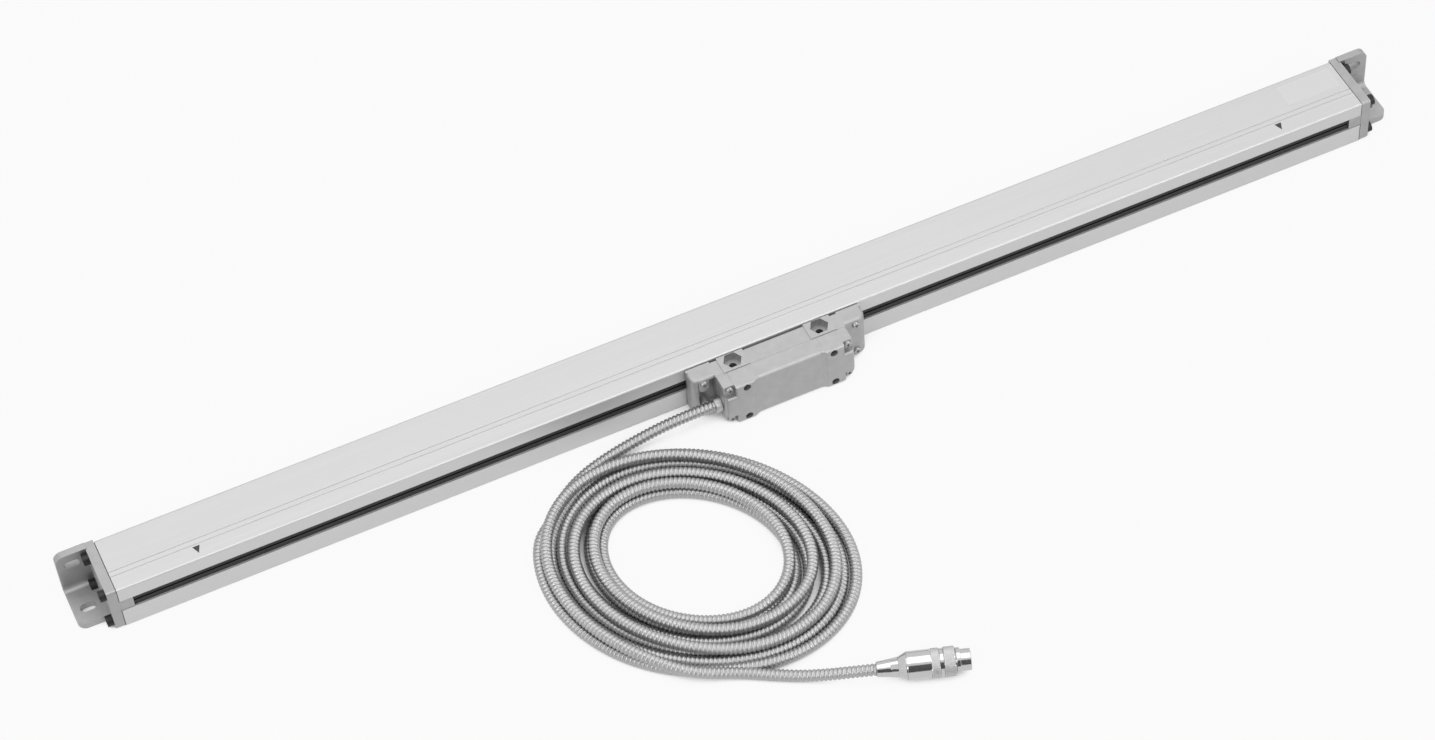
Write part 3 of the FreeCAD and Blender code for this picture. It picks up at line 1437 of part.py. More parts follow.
def contact_pins(insert_end):
    angle = math.radians(d.plug_angle.value)
    turn = FreeCAD.Rotation(Z_AXIS, d.plug_angle.value).multiply(TURN_OF["+X"])
    pins = []
    for number in range(PIN_COUNT):
        turn_angle = 2 * math.pi * number / PIN_COUNT
        sideways = d.pin_circle * math.cos(turn_angle)
        pin = document.addObject("Part::Cylinder", "pin_%d" % number)
        bind(pin, "Radius", d.pin_radius)
        bind(pin, "Height", d.pin_length)
        place(
            pin,
            d.plug_x + insert_end * math.cos(angle) - sideways * math.sin(angle),
            d.plug_y + insert_end * math.sin(angle) + sideways * math.cos(angle),
            d.plug_z + d.pin_circle * math.sin(turn_angle),
            turn)
        pins.append(pin)
    return pins


def conduit_path(points):
    """Straight runs joined by tangent arcs, as large as the runs allow."""
    edges = []
    radii = []
    last = points[0]
    for index in range(1, len(points) - 1):
        corner = points[index]
        back = points[index - 1] - corner
        ahead = points[index + 1] - corner
        shorter = min(back.Length, ahead.Length)
        turn = math.pi - back.getAngle(ahead)
        radii.append(ARC_SHARE * shorter / math.tan(turn / 2))
        back.normalize()
        ahead.normalize()
        start = corner + back * (ARC_SHARE * shorter)
        end = corner + ahead * (ARC_SHARE * shorter)
        inward = back + ahead
        inward.normalize()
        to_centre = math.hypot(radii[-1], ARC_SHARE * shorter)
        middle = corner + inward * (to_centre - radii[-1])
        edges.append(Part.LineSegment(last, start).toShape())
        edges.append(Part.Arc(start, middle, end).toShape())
        last = end
    edges.append(Part.LineSegment(last, points[-1]).toShape())
    return Part.Wire(edges), radii


def make_tube(name, points):
    wire, radii = conduit_path(points)
    direction = points[1] - points[0]
    section = Part.Wire(Part.Circle(points[0], direction, d.conduit_radius.value).toShape())
    shape = wire.makePipeShell([section], True, False)
    tube = document.addObject("Part::Feature", name + "_tube")
    tube.Shape = shape
    tube.Placement = FreeCAD.Placement()
    expected = math.pi * d.conduit_radius.value ** 2 * wire.Length
    print("%s: length %.1f, radii %s, volume %.4f of section times length" % (
        name, wire.Length, [round(radius, 1) for radius in radii], shape.Volume / expected))
    return keep(name, tube)


def make_conduit():
    start = FreeCAD.Vector(
        value_of(d.reader_x - head_half - d.gland_length), gland_axis_y.value, d.gland_z.value)
    make_tube("conduit_lead", [start] + [FreeCAD.Vector(*point) for point in LEAD_POINTS])
    make_tube("conduit_tail", [FreeCAD.Vector(*point) for point in TAIL_POINTS] + [plug_point(0)])


def ellipse_block(name, x, y, long_half, short_half, height):
    outline = document.addObject("Part::Ellipse", name + "_outline")
    bind(outline, "MajorRadius", long_half)
    bind(outline, "MinorRadius", short_half)
    turn = FreeCAD.Rotation(Z_AXIS, d.coil_angle.value)
    place(outline, x, y, 0, turn)
    block = document.addObject("Part::Extrusion", name)
    block.Base = outline
    block.DirMode = "Custom"
    block.Dir = Z_AXIS
    bind(block, "LengthFwd", height)
    block.Solid = True
    return block


def make_coil():
    """The outer shape of the loose coil of conduit."""
    disc = ellipse_block(
        "coil_disc", d.coil_x, d.coil_y, d.coil_long, d.coil_short, d.coil_height)
    hole = ellipse_block(
        "coil_hole", d.coil_x + d.coil_hole_shift_x, d.coil_y + d.coil_hole_shift_y,
        d.coil_hole_long, d.coil_hole_short, d.coil_height)
    ring = cut("coil_ring", disc, [hole])
    document.recompute()
    rounded = document.addObject("Part::Fillet", "coil_rounded")
    rounded.Base = ring
    radius = d.coil_edge_radius.value
    edges = []
    for index, edge in enumerate(ring.Shape.Edges):
        if edge.BoundBox.ZLength < 0.01:
            edges.append((index + 1, radius, radius))
    rounded.Edges = edges
    return keep("conduit_coil", rounded)


def build():
    make_housing()
    for side, word in ((-1, "left"), (1, "right")):
        make_end_cap(side, word)
        make_end_gasket(side, word)
        make_end_screws(side, word)
        make_buffer(side, word)
        make_side_bracket(side, word)
    make_lips()
    make_glass()
    make_marks()
    make_reader_base()
    make_cover_gasket()
    make_reader_cover()
    make_cover_screws()
    make_bracket_screws()
    make_blade()
    make_carriage()
    make_axles()
    make_rollers()
    make_optics()
    make_signal_parts()
    make_gland()
    make_plug()
    make_conduit()
    make_coil()
    document.recompute()


def check():
    for item in document.Objects:
        if "Invalid" in item.State or "Error" in item.State:
            raise ValueError("%s did not build: %s" % (item.Name, item.State))
    for name, item in nodes.items():
        shape = item.Shape
        if shape.isNull() or not shape.isValid() or not shape.Solids:
            raise ValueError("%s has no valid solid" % name)


def write():
    os.makedirs("parts", exist_ok=True)
    for name, item in sorted(nodes.items()):
        shape = item.Shape
        limits = shape.BoundBox
        print("%-22s solids %2d volume %10.1f x %8.2f..%8.2f y %8.2f..%8.2f z %6.2f..%6.2f" % (
            name, len(shape.Solids), shape.Volume, limits.XMin, limits.XMax, limits.YMin,
            limits.YMax, limits.ZMin, limits.ZMax))
        shape.exportStep("parts/%s.step" % name)


build()
check()
write()
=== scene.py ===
import json
import math

import bpy
import numpy as np
from mathutils import Matrix, Vector


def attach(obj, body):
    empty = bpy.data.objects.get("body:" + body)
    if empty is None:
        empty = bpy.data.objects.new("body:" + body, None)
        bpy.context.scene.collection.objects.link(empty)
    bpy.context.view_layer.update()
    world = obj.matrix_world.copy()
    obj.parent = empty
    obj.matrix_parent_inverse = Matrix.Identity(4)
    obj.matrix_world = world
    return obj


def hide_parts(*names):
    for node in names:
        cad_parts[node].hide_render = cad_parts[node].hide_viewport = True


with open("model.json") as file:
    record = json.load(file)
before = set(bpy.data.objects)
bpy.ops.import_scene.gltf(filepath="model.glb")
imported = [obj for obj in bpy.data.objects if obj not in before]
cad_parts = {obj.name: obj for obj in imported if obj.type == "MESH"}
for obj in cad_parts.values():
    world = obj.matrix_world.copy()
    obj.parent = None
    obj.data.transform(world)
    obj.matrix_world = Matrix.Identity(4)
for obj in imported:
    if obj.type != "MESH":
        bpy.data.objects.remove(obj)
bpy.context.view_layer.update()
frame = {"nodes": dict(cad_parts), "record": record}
nodes = frame["nodes"]

# Camera, in metres and degrees, from the photograph's own perspective
CAMERA_TARGET = (-0.02768, -0.00511, 0.0)
CAMERA_DISTANCE = 2.68704
CAMERA_AZIMUTH = 20.352
CAMERA_ELEVATION = 50.824
CAMERA_ROLL = -5.3746
CAMERA_LENS = 99.46
SENSOR_WIDTH = 36.0
CLIP_START = 0.1
CLIP_END = 50.0

# Studio: light for matt surfaces, white behind the object, floor and how its painted shadow fades
WORLD_LIGHT = 0.45
BACKGROUND_WHITE = 0.98
FLOOR_SIZE = 9.0
FLOOR_DROP = 0.0002
FLOOR_GREY = 0.60
FLOOR_WHITE_SHARE = 0.92
SHADOW_REACH = 0.03
SHADOW_SAMPLES = 8
SHADOW_DARKEST = 0.12
SHADOW_GONE = 0.40
# Soft boxes: place, aim, width, height and power
SOFT_BOXES = {
    "top_box": ((0.0, 0.0, 2.3), (0.0, -0.05, 0.0), 2.6, 2.2, 20.0),
    "left_box": ((-2.2, -1.6, 1.5), (0.0, -0.1, 0.0), 1.0, 1.0, 18.0),
    "right_box": ((1.3, -2.3, 1.7), (0.0, -0.1, 0.0), 0.8, 0.8, 12.0),
}
# Dark cloth: its distance in front of the object, its sides and its height
FLAG_DISTANCE = 1.75
FLAG_LEFT = -1.35
FLAG_RIGHT = 0.05
FLAG_HEIGHT = 1.95
FLAG_GREY = 0.18

# Route of the armoured cable from the gland to the coil and from the coil to the plug
CONDUIT_EXIT = (-0.0466, -0.0424, 0.0140)
LEAD_POINTS = [
    (-0.0625, -0.0424, 0.0140), (-0.0845, -0.0413, 0.0114), (-0.1100, -0.0416, 0.0066),
    (-0.1305, -0.0444, 0.0044), (-0.1495, -0.0508, 0.00405), (-0.1665, -0.0615, 0.00405),
    (-0.1805, -0.0755, 0.00405),
]
TAIL_POINTS = [
    (-0.1190, -0.2405, 0.00405), (-0.1030, -0.2506, 0.00405), (-0.0860, -0.2604, 0.00405),
    (-0.0705, -0.2684, 0.0059), (-0.05543, -0.27662, 0.0098),
]
PLUG_REAR = Vector((-0.0422, -0.2812, 0.0098))
PLUG_TURN = math.radians(-19.1)
PLUG_AXIS = Vector((math.cos(PLUG_TURN), math.sin(PLUG_TURN), 0.0))
CONDUIT_RADIUS = 0.0040
CONDUIT_PITCH = 0.0029
CONDUIT_GROOVE = 0.00075
GROOVE_SHARPNESS = 2.2
CONDUIT_AROUND = 18
SAMPLES_PER_PITCH = 8
SPLINE_STEPS = 8

# Ellipses that hold the coil's outermost and innermost turns, and angles in degrees
COIL_CENTRE = np.array((-0.1064, -0.1520))
HOLE_CENTRE = np.array((-0.1084, -0.1460))
COIL_HALF_AXES = np.array((0.1083, 0.0852))
HOLE_HALF_AXES = np.array((0.0658, 0.0523))
COIL_TURN = math.radians(127.0)
FIRST_ANGLE = 20.0
FIRST_QUARTER = 55.0
LAST_ANGLE = 120.0
POINTS_PER_TURN = 24
# How far in from the outermost turn the cable lies where it enters the coil, at each quarter of
# each turn, one turn to a row, and where it leaves
FIRST_DEPTH = -0.04
DEPTHS = [
    (-0.08, 0.18, -0.03, 0.02),
    (0.14, 0.34, 0.20, 0.20),
    (0.34, 0.52, 0.42, 0.38),
    (0.56, 0.74, 0.70, 0.78),
    (0.94, 0.94, 0.94, 0.94),
    (0.99, 1.02, 0.96, 0.92),
    (0.90, 0.82, 0.62, 0.66),
    (0.50, 0.44, 0.24, 0.12),
]
LAST_DEPTHS = (0.04, 0.05)
LAYER_RISE = 0.0040

# Settling of the coil: the middle line's height on the floor and its distance between turns, the
# fall in each round, the pulls towards the planned route and towards the neighbouring points, and
# the lift of one turn over another where both lie at the same height
SETTLE_ROUNDS = 450
FLOOR_HEIGHT = 0.00405
CORD_GAP = 0.0081
FALL_STEP = 0.0001
PLAN_PULL = 0.06
HEIGHT_PULL = 0.25
SHIFT_PULL = 0.2
CONTACT_SHARES = (0.17, 0.5, 0.83)
NEAR_STRETCHES = 3
LEVEL_SLOPE = 0.3
LEVEL_SHARE = 0.8
LEVEL_LIFT = 0.00025
SMALLEST_GAP = 1e-9

# Round plug: distances along its axis from the cable, and radii
PLUG_AROUND = 72
PLUG_SHARP_ANGLE = 25.0
BACKSHELL_PROFILE = [
    (0.0, 0.0042), (0.0, 0.0047), (0.00025, 0.00495), (0.0090, 0.00595), (0.0092, 0.00595),
    (0.0139, 0.0066), (0.0141, 0.0066), (0.0188, 0.0091), (0.0191, 0.0091), (0.0193, 0.0089),
    (0.0193, 0.0042),
]
FLATS_FROM = 0.0091
FLATS_TO = 0.0140
FLATS_HALF = 0.0057
FLAT_COUNT = 6
# Stretches of the coupling ring: from, to, radius and whether it is knurled
RING_STRETCHES = [
    (0.0348, 0.0402, 0.0096, True), (0.0402, 0.0430, 0.0091, False),
    (0.0430, 0.0502, 0.0097, True), (0.0507, 0.0535, 0.0085, False),
]
RING_STEP = 0.0002
RING_EDGE = 0.0003
RING_BORE = 0.00765
KNURL_TEETH = 60
KNURL_SAMPLES = 6
KNURL_PITCH = 0.0020
KNURL_DEPTH = 0.00030

# Finishes: grains in cycles for each metre, depths of relief in metres, and the noise values that
# stand for the low and the high end of a tone or a roughness
NOISE_LOW = 0.25
NOISE_HIGH = 0.75
BRUSH_GRAIN = (9.0, 2600.0, 2600.0)
BRUSH_DEPTH = 0.00001
BRUSH_GREYS = (0.635, 0.685)
BRUSH_ROUGHNESS = (0.34, 0.50)
CLOUD_GRAIN = 160.0
CLOUD_DETAIL = 5.0
CLOUD_TONES = (0.93, 1.05)
SAND_GRAIN = 2400.0
SAND_DETAIL = 2.0
SAND_DEPTH = 0.00002
SAND_ROUGHNESS = (0.44, 0.58)
FINE_GRAIN = 900.0
FINE_DEPTH = 0.00001
FINE_TONES = (0.92, 1.08)
FINE_SPREAD = 0.06
LOWEST_ROUGHNESS = 0.02
SOFT_GRAIN = 500.0
PRINT_GRAIN = 2500.0
STRIP_DEPTH = 0.000003
CHROME_DEPTH = 0.000002
GRATING_GRAIN = (20000.0, 300.0, 300.0)
GRATING_DEPTH = 0.000002


def make_camera():
    azimuth = math.radians(CAMERA_AZIMUTH)
    elevation = math.radians(CAMERA_ELEVATION)
    roll = math.radians(CAMERA_ROLL)
    forward = Vector((
        math.sin(azimuth) * math.cos(elevation),
        math.cos(azimuth) * math.cos(elevation),
        -math.sin(elevation)))
    level = Vector((math.cos(azimuth), -math.sin(azimuth), 0.0))
    above = level.cross(forward)
    right = level * math.cos(roll) + above * math.sin(roll)
    upward = above * math.cos(roll) - level * math.sin(roll)
    data = bpy.data.cameras.new("photo_camera")
    data.lens = CAMERA_LENS
    data.sensor_width = SENSOR_WIDTH
    data.clip_start = CLIP_START
    data.clip_end = CLIP_END
    camera = bpy.data.objects.new("photo_camera", data)
    bpy.context.scene.collection.objects.link(camera)
    turn = Matrix((right, upward, -forward)).transposed().to_4x4()
    place = Vector(CAMERA_TARGET) - forward * CAMERA_DISTANCE
    camera.matrix_world = Matrix.Translation(place) @ turn
    bpy.context.scene.camera = camera


def shown_rays(tree):
    """One for camera, glossy and transmission rays, and nothing for the rest."""
    path = tree.nodes.new("ShaderNodeLightPath")
    first = tree.nodes.new("ShaderNodeMath")
    first.operation = "MAXIMUM"
    tree.links.new(path.outputs["Is Camera Ray"], first.inputs[0])
    tree.links.new(path.outputs["Is Glossy Ray"], first.inputs[1])
    second = tree.nodes.new("ShaderNodeMath")
    second.operation = "MAXIMUM"
    tree.links.new(first.outputs[0], second.inputs[0])
    tree.links.new(path.outputs["Is Transmission Ray"], second.inputs[1])
    return second.outputs[0]


def grey(value):
    return (value, value, value)


def make_world():
    world = bpy.data.worlds.new("studio")
    bpy.context.scene.world = world
    world.use_nodes = True
    tree = world.node_tree
    tree.nodes.clear()
    light = tree.nodes.new("ShaderNodeBackground")
    light.inputs["Color"].default_value = (*grey(1.0), 1.0)
    light.inputs["Strength"].default_value = WORLD_LIGHT
    white = tree.nodes.new("ShaderNodeBackground")
    white.inputs["Color"].default_value = (*grey(BACKGROUND_WHITE), 1.0)
    white.inputs["Strength"].default_value = 1.0
    mix = tree.nodes.new("ShaderNodeMixShader")
    out = tree.nodes.new("ShaderNodeOutputWorld")
    tree.links.new(shown_rays(tree), mix.inputs[0])
    tree.links.new(light.outputs[0], mix.inputs[1])
    tree.links.new(white.outputs[0], mix.inputs[2])
    tree.links.new(mix.outputs[0], out.inputs["Surface"])


def flat_panel(name, corners):
    mesh = bpy.data.meshes.new(name)
    mesh.from_pydata(corners, [], [(0, 1, 2, 3)])
    panel = bpy.data.objects.new(name, mesh)
    bpy.context.scene.collection.objects.link(panel)
    return panel


def make_floor():
    half = FLOOR_SIZE / 2
    floor = flat_panel("floor", [
        (-half, -half, -FLOOR_DROP), (half, -half, -FLOOR_DROP),
        (half, half, -FLOOR_DROP), (-half, half, -FLOOR_DROP)])
    material = bpy.data.materials.new("pale_floor")
    material.use_nodes = True
    tree = material.node_tree
    tree.nodes.clear()
    matt = tree.nodes.new("ShaderNodeBsdfDiffuse")
    matt.inputs["Color"].default_value = (*grey(FLOOR_GREY), 1.0)
    white = tree.nodes.new("ShaderNodeEmission")
    white.inputs["Color"].default_value = (*grey(1.0), 1.0)
    white.inputs["Strength"].default_value = 1.0
    # Painted shadow: ambient occlusion cuts the floor's white share, so the floor is painted
    # darker near the object and in the gaps between coil turns, both where it is seen directly and
    # where it shows in reflections
    open_sky = tree.nodes.new("ShaderNodeAmbientOcclusion")
    open_sky.samples = SHADOW_SAMPLES
    open_sky.inputs["Distance"].default_value = SHADOW_REACH
    whiteness = tree.nodes.new("ShaderNodeMapRange")
    whiteness.inputs["From Min"].default_value = SHADOW_DARKEST
    whiteness.inputs["From Max"].default_value = SHADOW_GONE
    whiteness.inputs["To Max"].default_value = FLOOR_WHITE_SHARE
    tree.links.new(open_sky.outputs["AO"], whiteness.inputs["Value"])
    share = tree.nodes.new("ShaderNodeMath")
    share.operation = "MULTIPLY"
    tree.links.new(shown_rays(tree), share.inputs[0])
    tree.links.new(whiteness.outputs[0], share.inputs[1])
    mix = tree.nodes.new("ShaderNodeMixShader")
    out = tree.nodes.new("ShaderNodeOutputMaterial")
    tree.links.new(share.outputs[0], mix.inputs[0])
    tree.links.new(matt.outputs[0], mix.inputs[1])
    tree.links.new(white.outputs[0], mix.inputs[2])
    tree.links.new(mix.outputs[0], out.inputs["Surface"])
    floor.data.materials.append(material)


def soft_box(name, place, aim, width, height, power):
    data = bpy.data.lights.new(name, "AREA")
    data.shape = "RECTANGLE"
    data.size = width
    data.size_y = height
    data.energy = power
    lamp = bpy.data.objects.new(name, data)
    bpy.context.scene.collection.objects.link(lamp)
    lamp.location = place
    lamp.rotation_mode = "QUATERNION"
    lamp.rotation_quaternion = (Vector(aim) - Vector(place)).to_track_quat("-Z", "Y")
    lamp.visible_camera = False


def make_dark_flag():
    """Dark cloth in front of the object, which gives the bright metal its dark reflection."""
    flag = flat_panel("dark_flag", [
        (FLAG_LEFT, -FLAG_DISTANCE, 0.0), (FLAG_RIGHT, -FLAG_DISTANCE, 0.0),
        (FLAG_RIGHT, -FLAG_DISTANCE, FLAG_HEIGHT), (FLAG_LEFT, -FLAG_DISTANCE, FLAG_HEIGHT)])
    flag.visible_camera = False
    flag.visible_diffuse = False
    flag.visible_shadow = False
    flag.data.materials.append(new_material("dark_cloth", grey(FLAG_GREY), 0.0, 0.9)[0])


def between(turns, marks, values):
    """Value on the smooth curve through the marks."""
    slopes = np.gradient(values, marks)
    index = int(np.clip(np.searchsorted(marks, turns) - 1, 0, len(marks) - 2))
    step = marks[index + 1] - marks[index]
    u = (turns - marks[index]) / step
    return (
        (2 * u ** 3 - 3 * u ** 2 + 1) * values[index]
        + (u ** 3 - 2 * u ** 2 + u) * step * slopes[index]
        + (3 * u ** 2 - 2 * u ** 3) * values[index + 1]
        + (u ** 3 - u ** 2) * step * slopes[index + 1])


def turned_by(point, angle):
    return np.array((
        point[0] * math.cos(angle) - point[1] * math.sin(angle),
        point[0] * math.sin(angle) + point[1] * math.cos(angle)))


def ring_point(depth, angle):
    centre = COIL_CENTRE * (1 - depth) + HOLE_CENTRE * depth
    half_axes = COIL_HALF_AXES * (1 - depth) + HOLE_HALF_AXES * depth
    point = half_axes * np.array((math.cos(angle), math.sin(angle)))
    return centre + turned_by(point, COIL_TURN)


def coil_points():
    quarters = 4 * len(DEPTHS)
    marks = [FIRST_ANGLE]
    marks += [FIRST_QUARTER + 90.0 * quarter for quarter in range(quarters + 1)]
    marks += [LAST_ANGLE + 360.0 * len(DEPTHS)]
    depths = [FIRST_DEPTH]
    depths += [depth for turn in DEPTHS for depth in turn]
    depths += LAST_DEPTHS
    points = []
    for angle in np.arange(FIRST_ANGLE, marks[-1], 360.0 / POINTS_PER_TURN):
        depth = between(angle, np.array(marks), np.array(depths))
        plan = ring_point(depth, math.radians(angle))
        height = FLOOR_HEIGHT + LAYER_RISE * (angle - FIRST_ANGLE) / 360.0
        points.append((plan[0], plan[1], height))
    return points


def settled(start, coil, end):
    """Lets the coil down to the floor and pushes its turns a diameter apart."""
    points = np.array(start + coil + end)
    goal = points.copy()
    count = len(points)
    free = np.zeros(count, bool)
    free[len(start):count - len(end)] = True
    inner = free[1:-1]
    owner = np.repeat(np.arange(count - 1), len(CONTACT_SHARES))
    weight = np.tile(CONTACT_SHARES, count - 1)
    apart = np.abs(owner[:, None] - owner[None]) > NEAR_STRETCHES
    upper = np.triu(apart, 1)
    for _ in range(SETTLE_ROUNDS):
        points[free, 2] -= FALL_STEP
        middle = (points[:-2] + points[2:]) / 2
        points[1:-1, 2] += HEIGHT_PULL * (middle[:, 2] - points[1:-1, 2]) * inner
        points[free, :2] += PLAN_PULL * (goal[free, :2] - points[free, :2])
        moved = points - goal
        evened = (moved[:-2] + moved[2:]) / 2 - moved[1:-1]
        points[1:-1, :2] += SHIFT_PULL * evened[:, :2] * inner[:, None]
        samples = points[owner] * (1 - weight)[:, None] + points[owner + 1] * weight[:, None]
        offset = samples[:, None] - samples[None]
        gap = np.sqrt((offset ** 2).sum(2))
        one, other = np.nonzero(upper & (gap < CORD_GAP))
        away = offset[one, other]
        length = np.maximum(gap[one, other], SMALLEST_GAP)
        push = away * ((CORD_GAP - length) / 2 / length)[:, None]
        level = (np.abs(away[:, 2]) < LEVEL_SLOPE * length) & (length < LEVEL_SHARE * CORD_GAP)
        push[level, 2] += LEVEL_LIFT * np.sign(owner[one[level]] - owner[other[level]])
        shift = np.zeros_like(points)
        load = np.zeros(count)
        for sample, sign in ((one, 1.0), (other, -1.0)):
            for end_share, extra in ((1 - weight[sample], 0), (weight[sample], 1)):
                np.add.at(shift, owner[sample] + extra, sign * push * end_share[:, None])
                np.add.at(load, owner[sample] + extra, end_share)
        touched = (load > 0) & free
        points[touched] += shift[touched] / np.maximum(load[touched], 1.0)[:, None]
        points[free, 2] = np.maximum(points[free, 2], FLOOR_HEIGHT)
    return [tuple(point) for point in points]


def spline_line(name, points):
    """Points read from the smooth spline through the route."""
    curve = bpy.data.curves.new(name, "CURVE")
    curve.dimensions = "3D"
    curve.resolution_u = SPLINE_STEPS
    spline = curve.splines.new("NURBS")
    spline.points.add(len(points) - 1)
    for point, place in zip(spline.points, points):
        point.co = (place[0], place[1], place[2], 1.0)
    spline.order_u = 3
    spline.use_endpoint_u = True
    holder = bpy.data.objects.new(name, curve)
    bpy.context.scene.collection.objects.link(holder)
    bpy.context.view_layer.update()
    depsgraph = bpy.context.evaluated_depsgraph_get()
    mesh = bpy.data.meshes.new_from_object(holder.evaluated_get(depsgraph))
    line = np.array([vertex.co[:] for vertex in mesh.vertices])
    bpy.data.objects.remove(holder)
    bpy.data.curves.remove(curve)
    bpy.data.meshes.remove(mesh)
    return line


def even_line(line, step):
    lengths = np.linalg.norm(np.diff(line, axis=0), axis=1)
    along = np.concatenate(([0.0], np.cumsum(lengths)))
    marks = np.linspace(0.0, along[-1], int(round(along[-1] / step)) + 1)
    return marks, np.column_stack([np.interp(marks, along, line[:, k]) for k in range(3)])


def grid_mesh(name, rows, close_ends=True):
    """Mesh of rings of points, each row a closed ring."""
    count, around = rows.shape[:2]
    faces = []
    for row in range(count - 1):
        low = row * around
        high = low + around
        for k in range(around):
            after = (k + 1) % around
            faces.append((low + k, low + after, high + after, high + k))
    if close_ends:
        faces.append(tuple(reversed(range(around))))
        faces.append(tuple(range((count - 1) * around, count * around)))
    mesh = bpy.data.meshes.new(name)
    mesh.from_pydata(rows.reshape(-1, 3).tolist(), [], faces)
    mesh.update()
    return mesh


def conduit_mesh(line):
    """Mesh of the conduit's helical ribs along the route, and its length."""
    marks, places = even_line(line, CONDUIT_PITCH / SAMPLES_PER_PITCH)
    tangents = np.gradient(places, axis=0)
    tangents /= np.linalg.norm(tangents, axis=1)[:, None]
    side = np.cross(tangents[0], (0.0, 0.0, 1.0))
    sides = np.empty_like(places)
    for index, tangent in enumerate(tangents):
        side = side - tangent * side.dot(tangent)
        side /= np.linalg.norm(side)
        sides[index] = side
    uppers = np.cross(sides, tangents)
    angles = np.arange(CONDUIT_AROUND) / CONDUIT_AROUND
    phase = marks[:, None] / CONDUIT_PITCH - angles[None]
    groove = (0.5 + 0.5 * np.cos(2 * math.pi * phase)) ** GROOVE_SHARPNESS
    radius = CONDUIT_RADIUS - CONDUIT_GROOVE * groove
    cosine = np.cos(2 * math.pi * angles)[None, :, None]
    sine = np.sin(2 * math.pi * angles)[None, :, None]
    rows = places[:, None] + radius[..., None] * (
        sides[:, None] * cosine + uppers[:, None] * sine)
    return grid_mesh("armoured_cable", rows), marks[-1]


def make_conduit(material):
    start = [CONDUIT_EXIT] + LEAD_POINTS
    end = TAIL_POINTS + [tuple(PLUG_REAR)]
    line = spline_line("conduit_route", settled(start, coil_points(), end))
    mesh, length = conduit_mesh(line)
    mesh.materials.append(material)
    mesh.shade_smooth()
    conduit = bpy.data.objects.new("armoured_cable", mesh)
    bpy.context.scene.collection.objects.link(conduit)
    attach(conduit, "reader")
    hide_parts("conduit_lead", "conduit_coil", "conduit_tail")


def turned_rows(stations, around, shaped_radius):
    """Rings of points about the plug's axis, round or shaped, one for each distance and radius."""
    side = Vector((PLUG_AXIS.y, -PLUG_AXIS.x, 0.0))
    upward = Vector((0.0, 0.0, 1.0))
    rows = []
    for along, radius, shaped in stations:
        centre = PLUG_REAR + PLUG_AXIS * along
        ring = []
        for step in range(around):
            angle = 2 * math.pi * step / around
            reach = shaped_radius(along, radius, angle) if shaped else radius
            level_part = side * (reach * math.cos(angle))
            upright_part = upward * (reach * math.sin(angle))
            ring.append(centre + level_part + upright_part)
        rows.append(ring)
    return np.array(rows)


def plug_piece(name, rows, node, body, material, rough_material=None, rough_rows=()):
    """Turned piece of the plug in place of a node, with a second material on some rows."""
    mesh = grid_mesh(name, rows, False)
    mesh.materials.append(material)
    if rough_material:
        mesh.materials.append(rough_material)
        around = rows.shape[1]
        for row in rough_rows:
            for face in range(row * around, (row + 1) * around):
                mesh.polygons[face].material_index = 1
    mesh.shade_smooth()
    mesh.set_sharp_from_angle(angle=math.radians(PLUG_SHARP_ANGLE))
    piece = bpy.data.objects.new(name, mesh)
    bpy.context.scene.collection.objects.link(piece)
    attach(piece, body)
    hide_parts(node)
    return piece


def make_backshell(material):
    """Cable end of the plug, with a hexagon for the wrench."""
    def flattened(along, radius, angle):
        sector = 2 * math.pi / FLAT_COUNT
        off = (angle + sector / 2) % sector - sector / 2
        return min(radius, FLATS_HALF / math.cos(off))

    stations = [
        (along, radius, FLATS_FROM <= along <= FLATS_TO) for along, radius in BACKSHELL_PROFILE]
    rows = turned_rows(stations, PLUG_AROUND, flattened)
    return plug_piece("plug_cable_end", rows, "plug_backshell", "reader", material)


def make_coupling_ring(material, rough_material):
    """Coupling ring with two bands of diamond knurling."""
    stations = [(RING_STRETCHES[0][0], RING_BORE, False)]
    rough_rows = []
    for first, last, radius, knurled in RING_STRETCHES:
        stations.append((first, radius - RING_EDGE, False))
        full_width = last - first - 2 * RING_EDGE
        count = int(round(full_width / RING_STEP))
        for step in range(count + 1):
            if knurled and step < count:
                rough_rows.append(len(stations))
            stations.append((first + RING_EDGE + full_width * step / count, radius, knurled))
        stations.append((last, radius - RING_EDGE, False))
    stations.append((RING_STRETCHES[-1][1], RING_BORE, False))
    stations.append(stations[0])

    def knurl_radius(along, radius, angle):
        tooth = angle * KNURL_TEETH / (2 * math.pi)
        shift = along / KNURL_PITCH
        rise = abs(math.sin(math.pi * (tooth + shift))) + abs(math.sin(math.pi * (tooth - shift)))
        return radius - KNURL_DEPTH * (1.0 - rise / 2)

    rows = turned_rows(stations, KNURL_TEETH * KNURL_SAMPLES, knurl_radius)
    return plug_piece(
        "knurled_ring", rows, "coupling_ring", "coupling_ring",
        material, rough_material, rough_rows)


def new_material(name, colour, metallic, roughness):
    material = bpy.data.materials.new(name)
    material.use_nodes = True
    tree = material.node_tree
    shader = tree.nodes["Principled BSDF"]
    shader.inputs["Base Color"].default_value = (*colour, 1.0)
    shader.inputs["Metallic"].default_value = metallic
    shader.inputs["Roughness"].default_value = roughness
    return material, tree, shader


def grain(tree, scale, detail=3.0):
    """Noise in the object's own coordinates, with its own scale on each axis."""
    place = tree.nodes.new("ShaderNodeTexCoord")
    mapping = tree.nodes.new("ShaderNodeMapping")
    mapping.inputs["Scale"].default_value = scale
    noise = tree.nodes.new("ShaderNodeTexNoise")
    noise.inputs["Scale"].default_value = 1.0
    noise.inputs["Detail"].default_value = detail
    tree.links.new(place.outputs["Object"], mapping.inputs["Vector"])
    tree.links.new(mapping.outputs[0], noise.inputs["Vector"])
    return noise.outputs["Fac"]


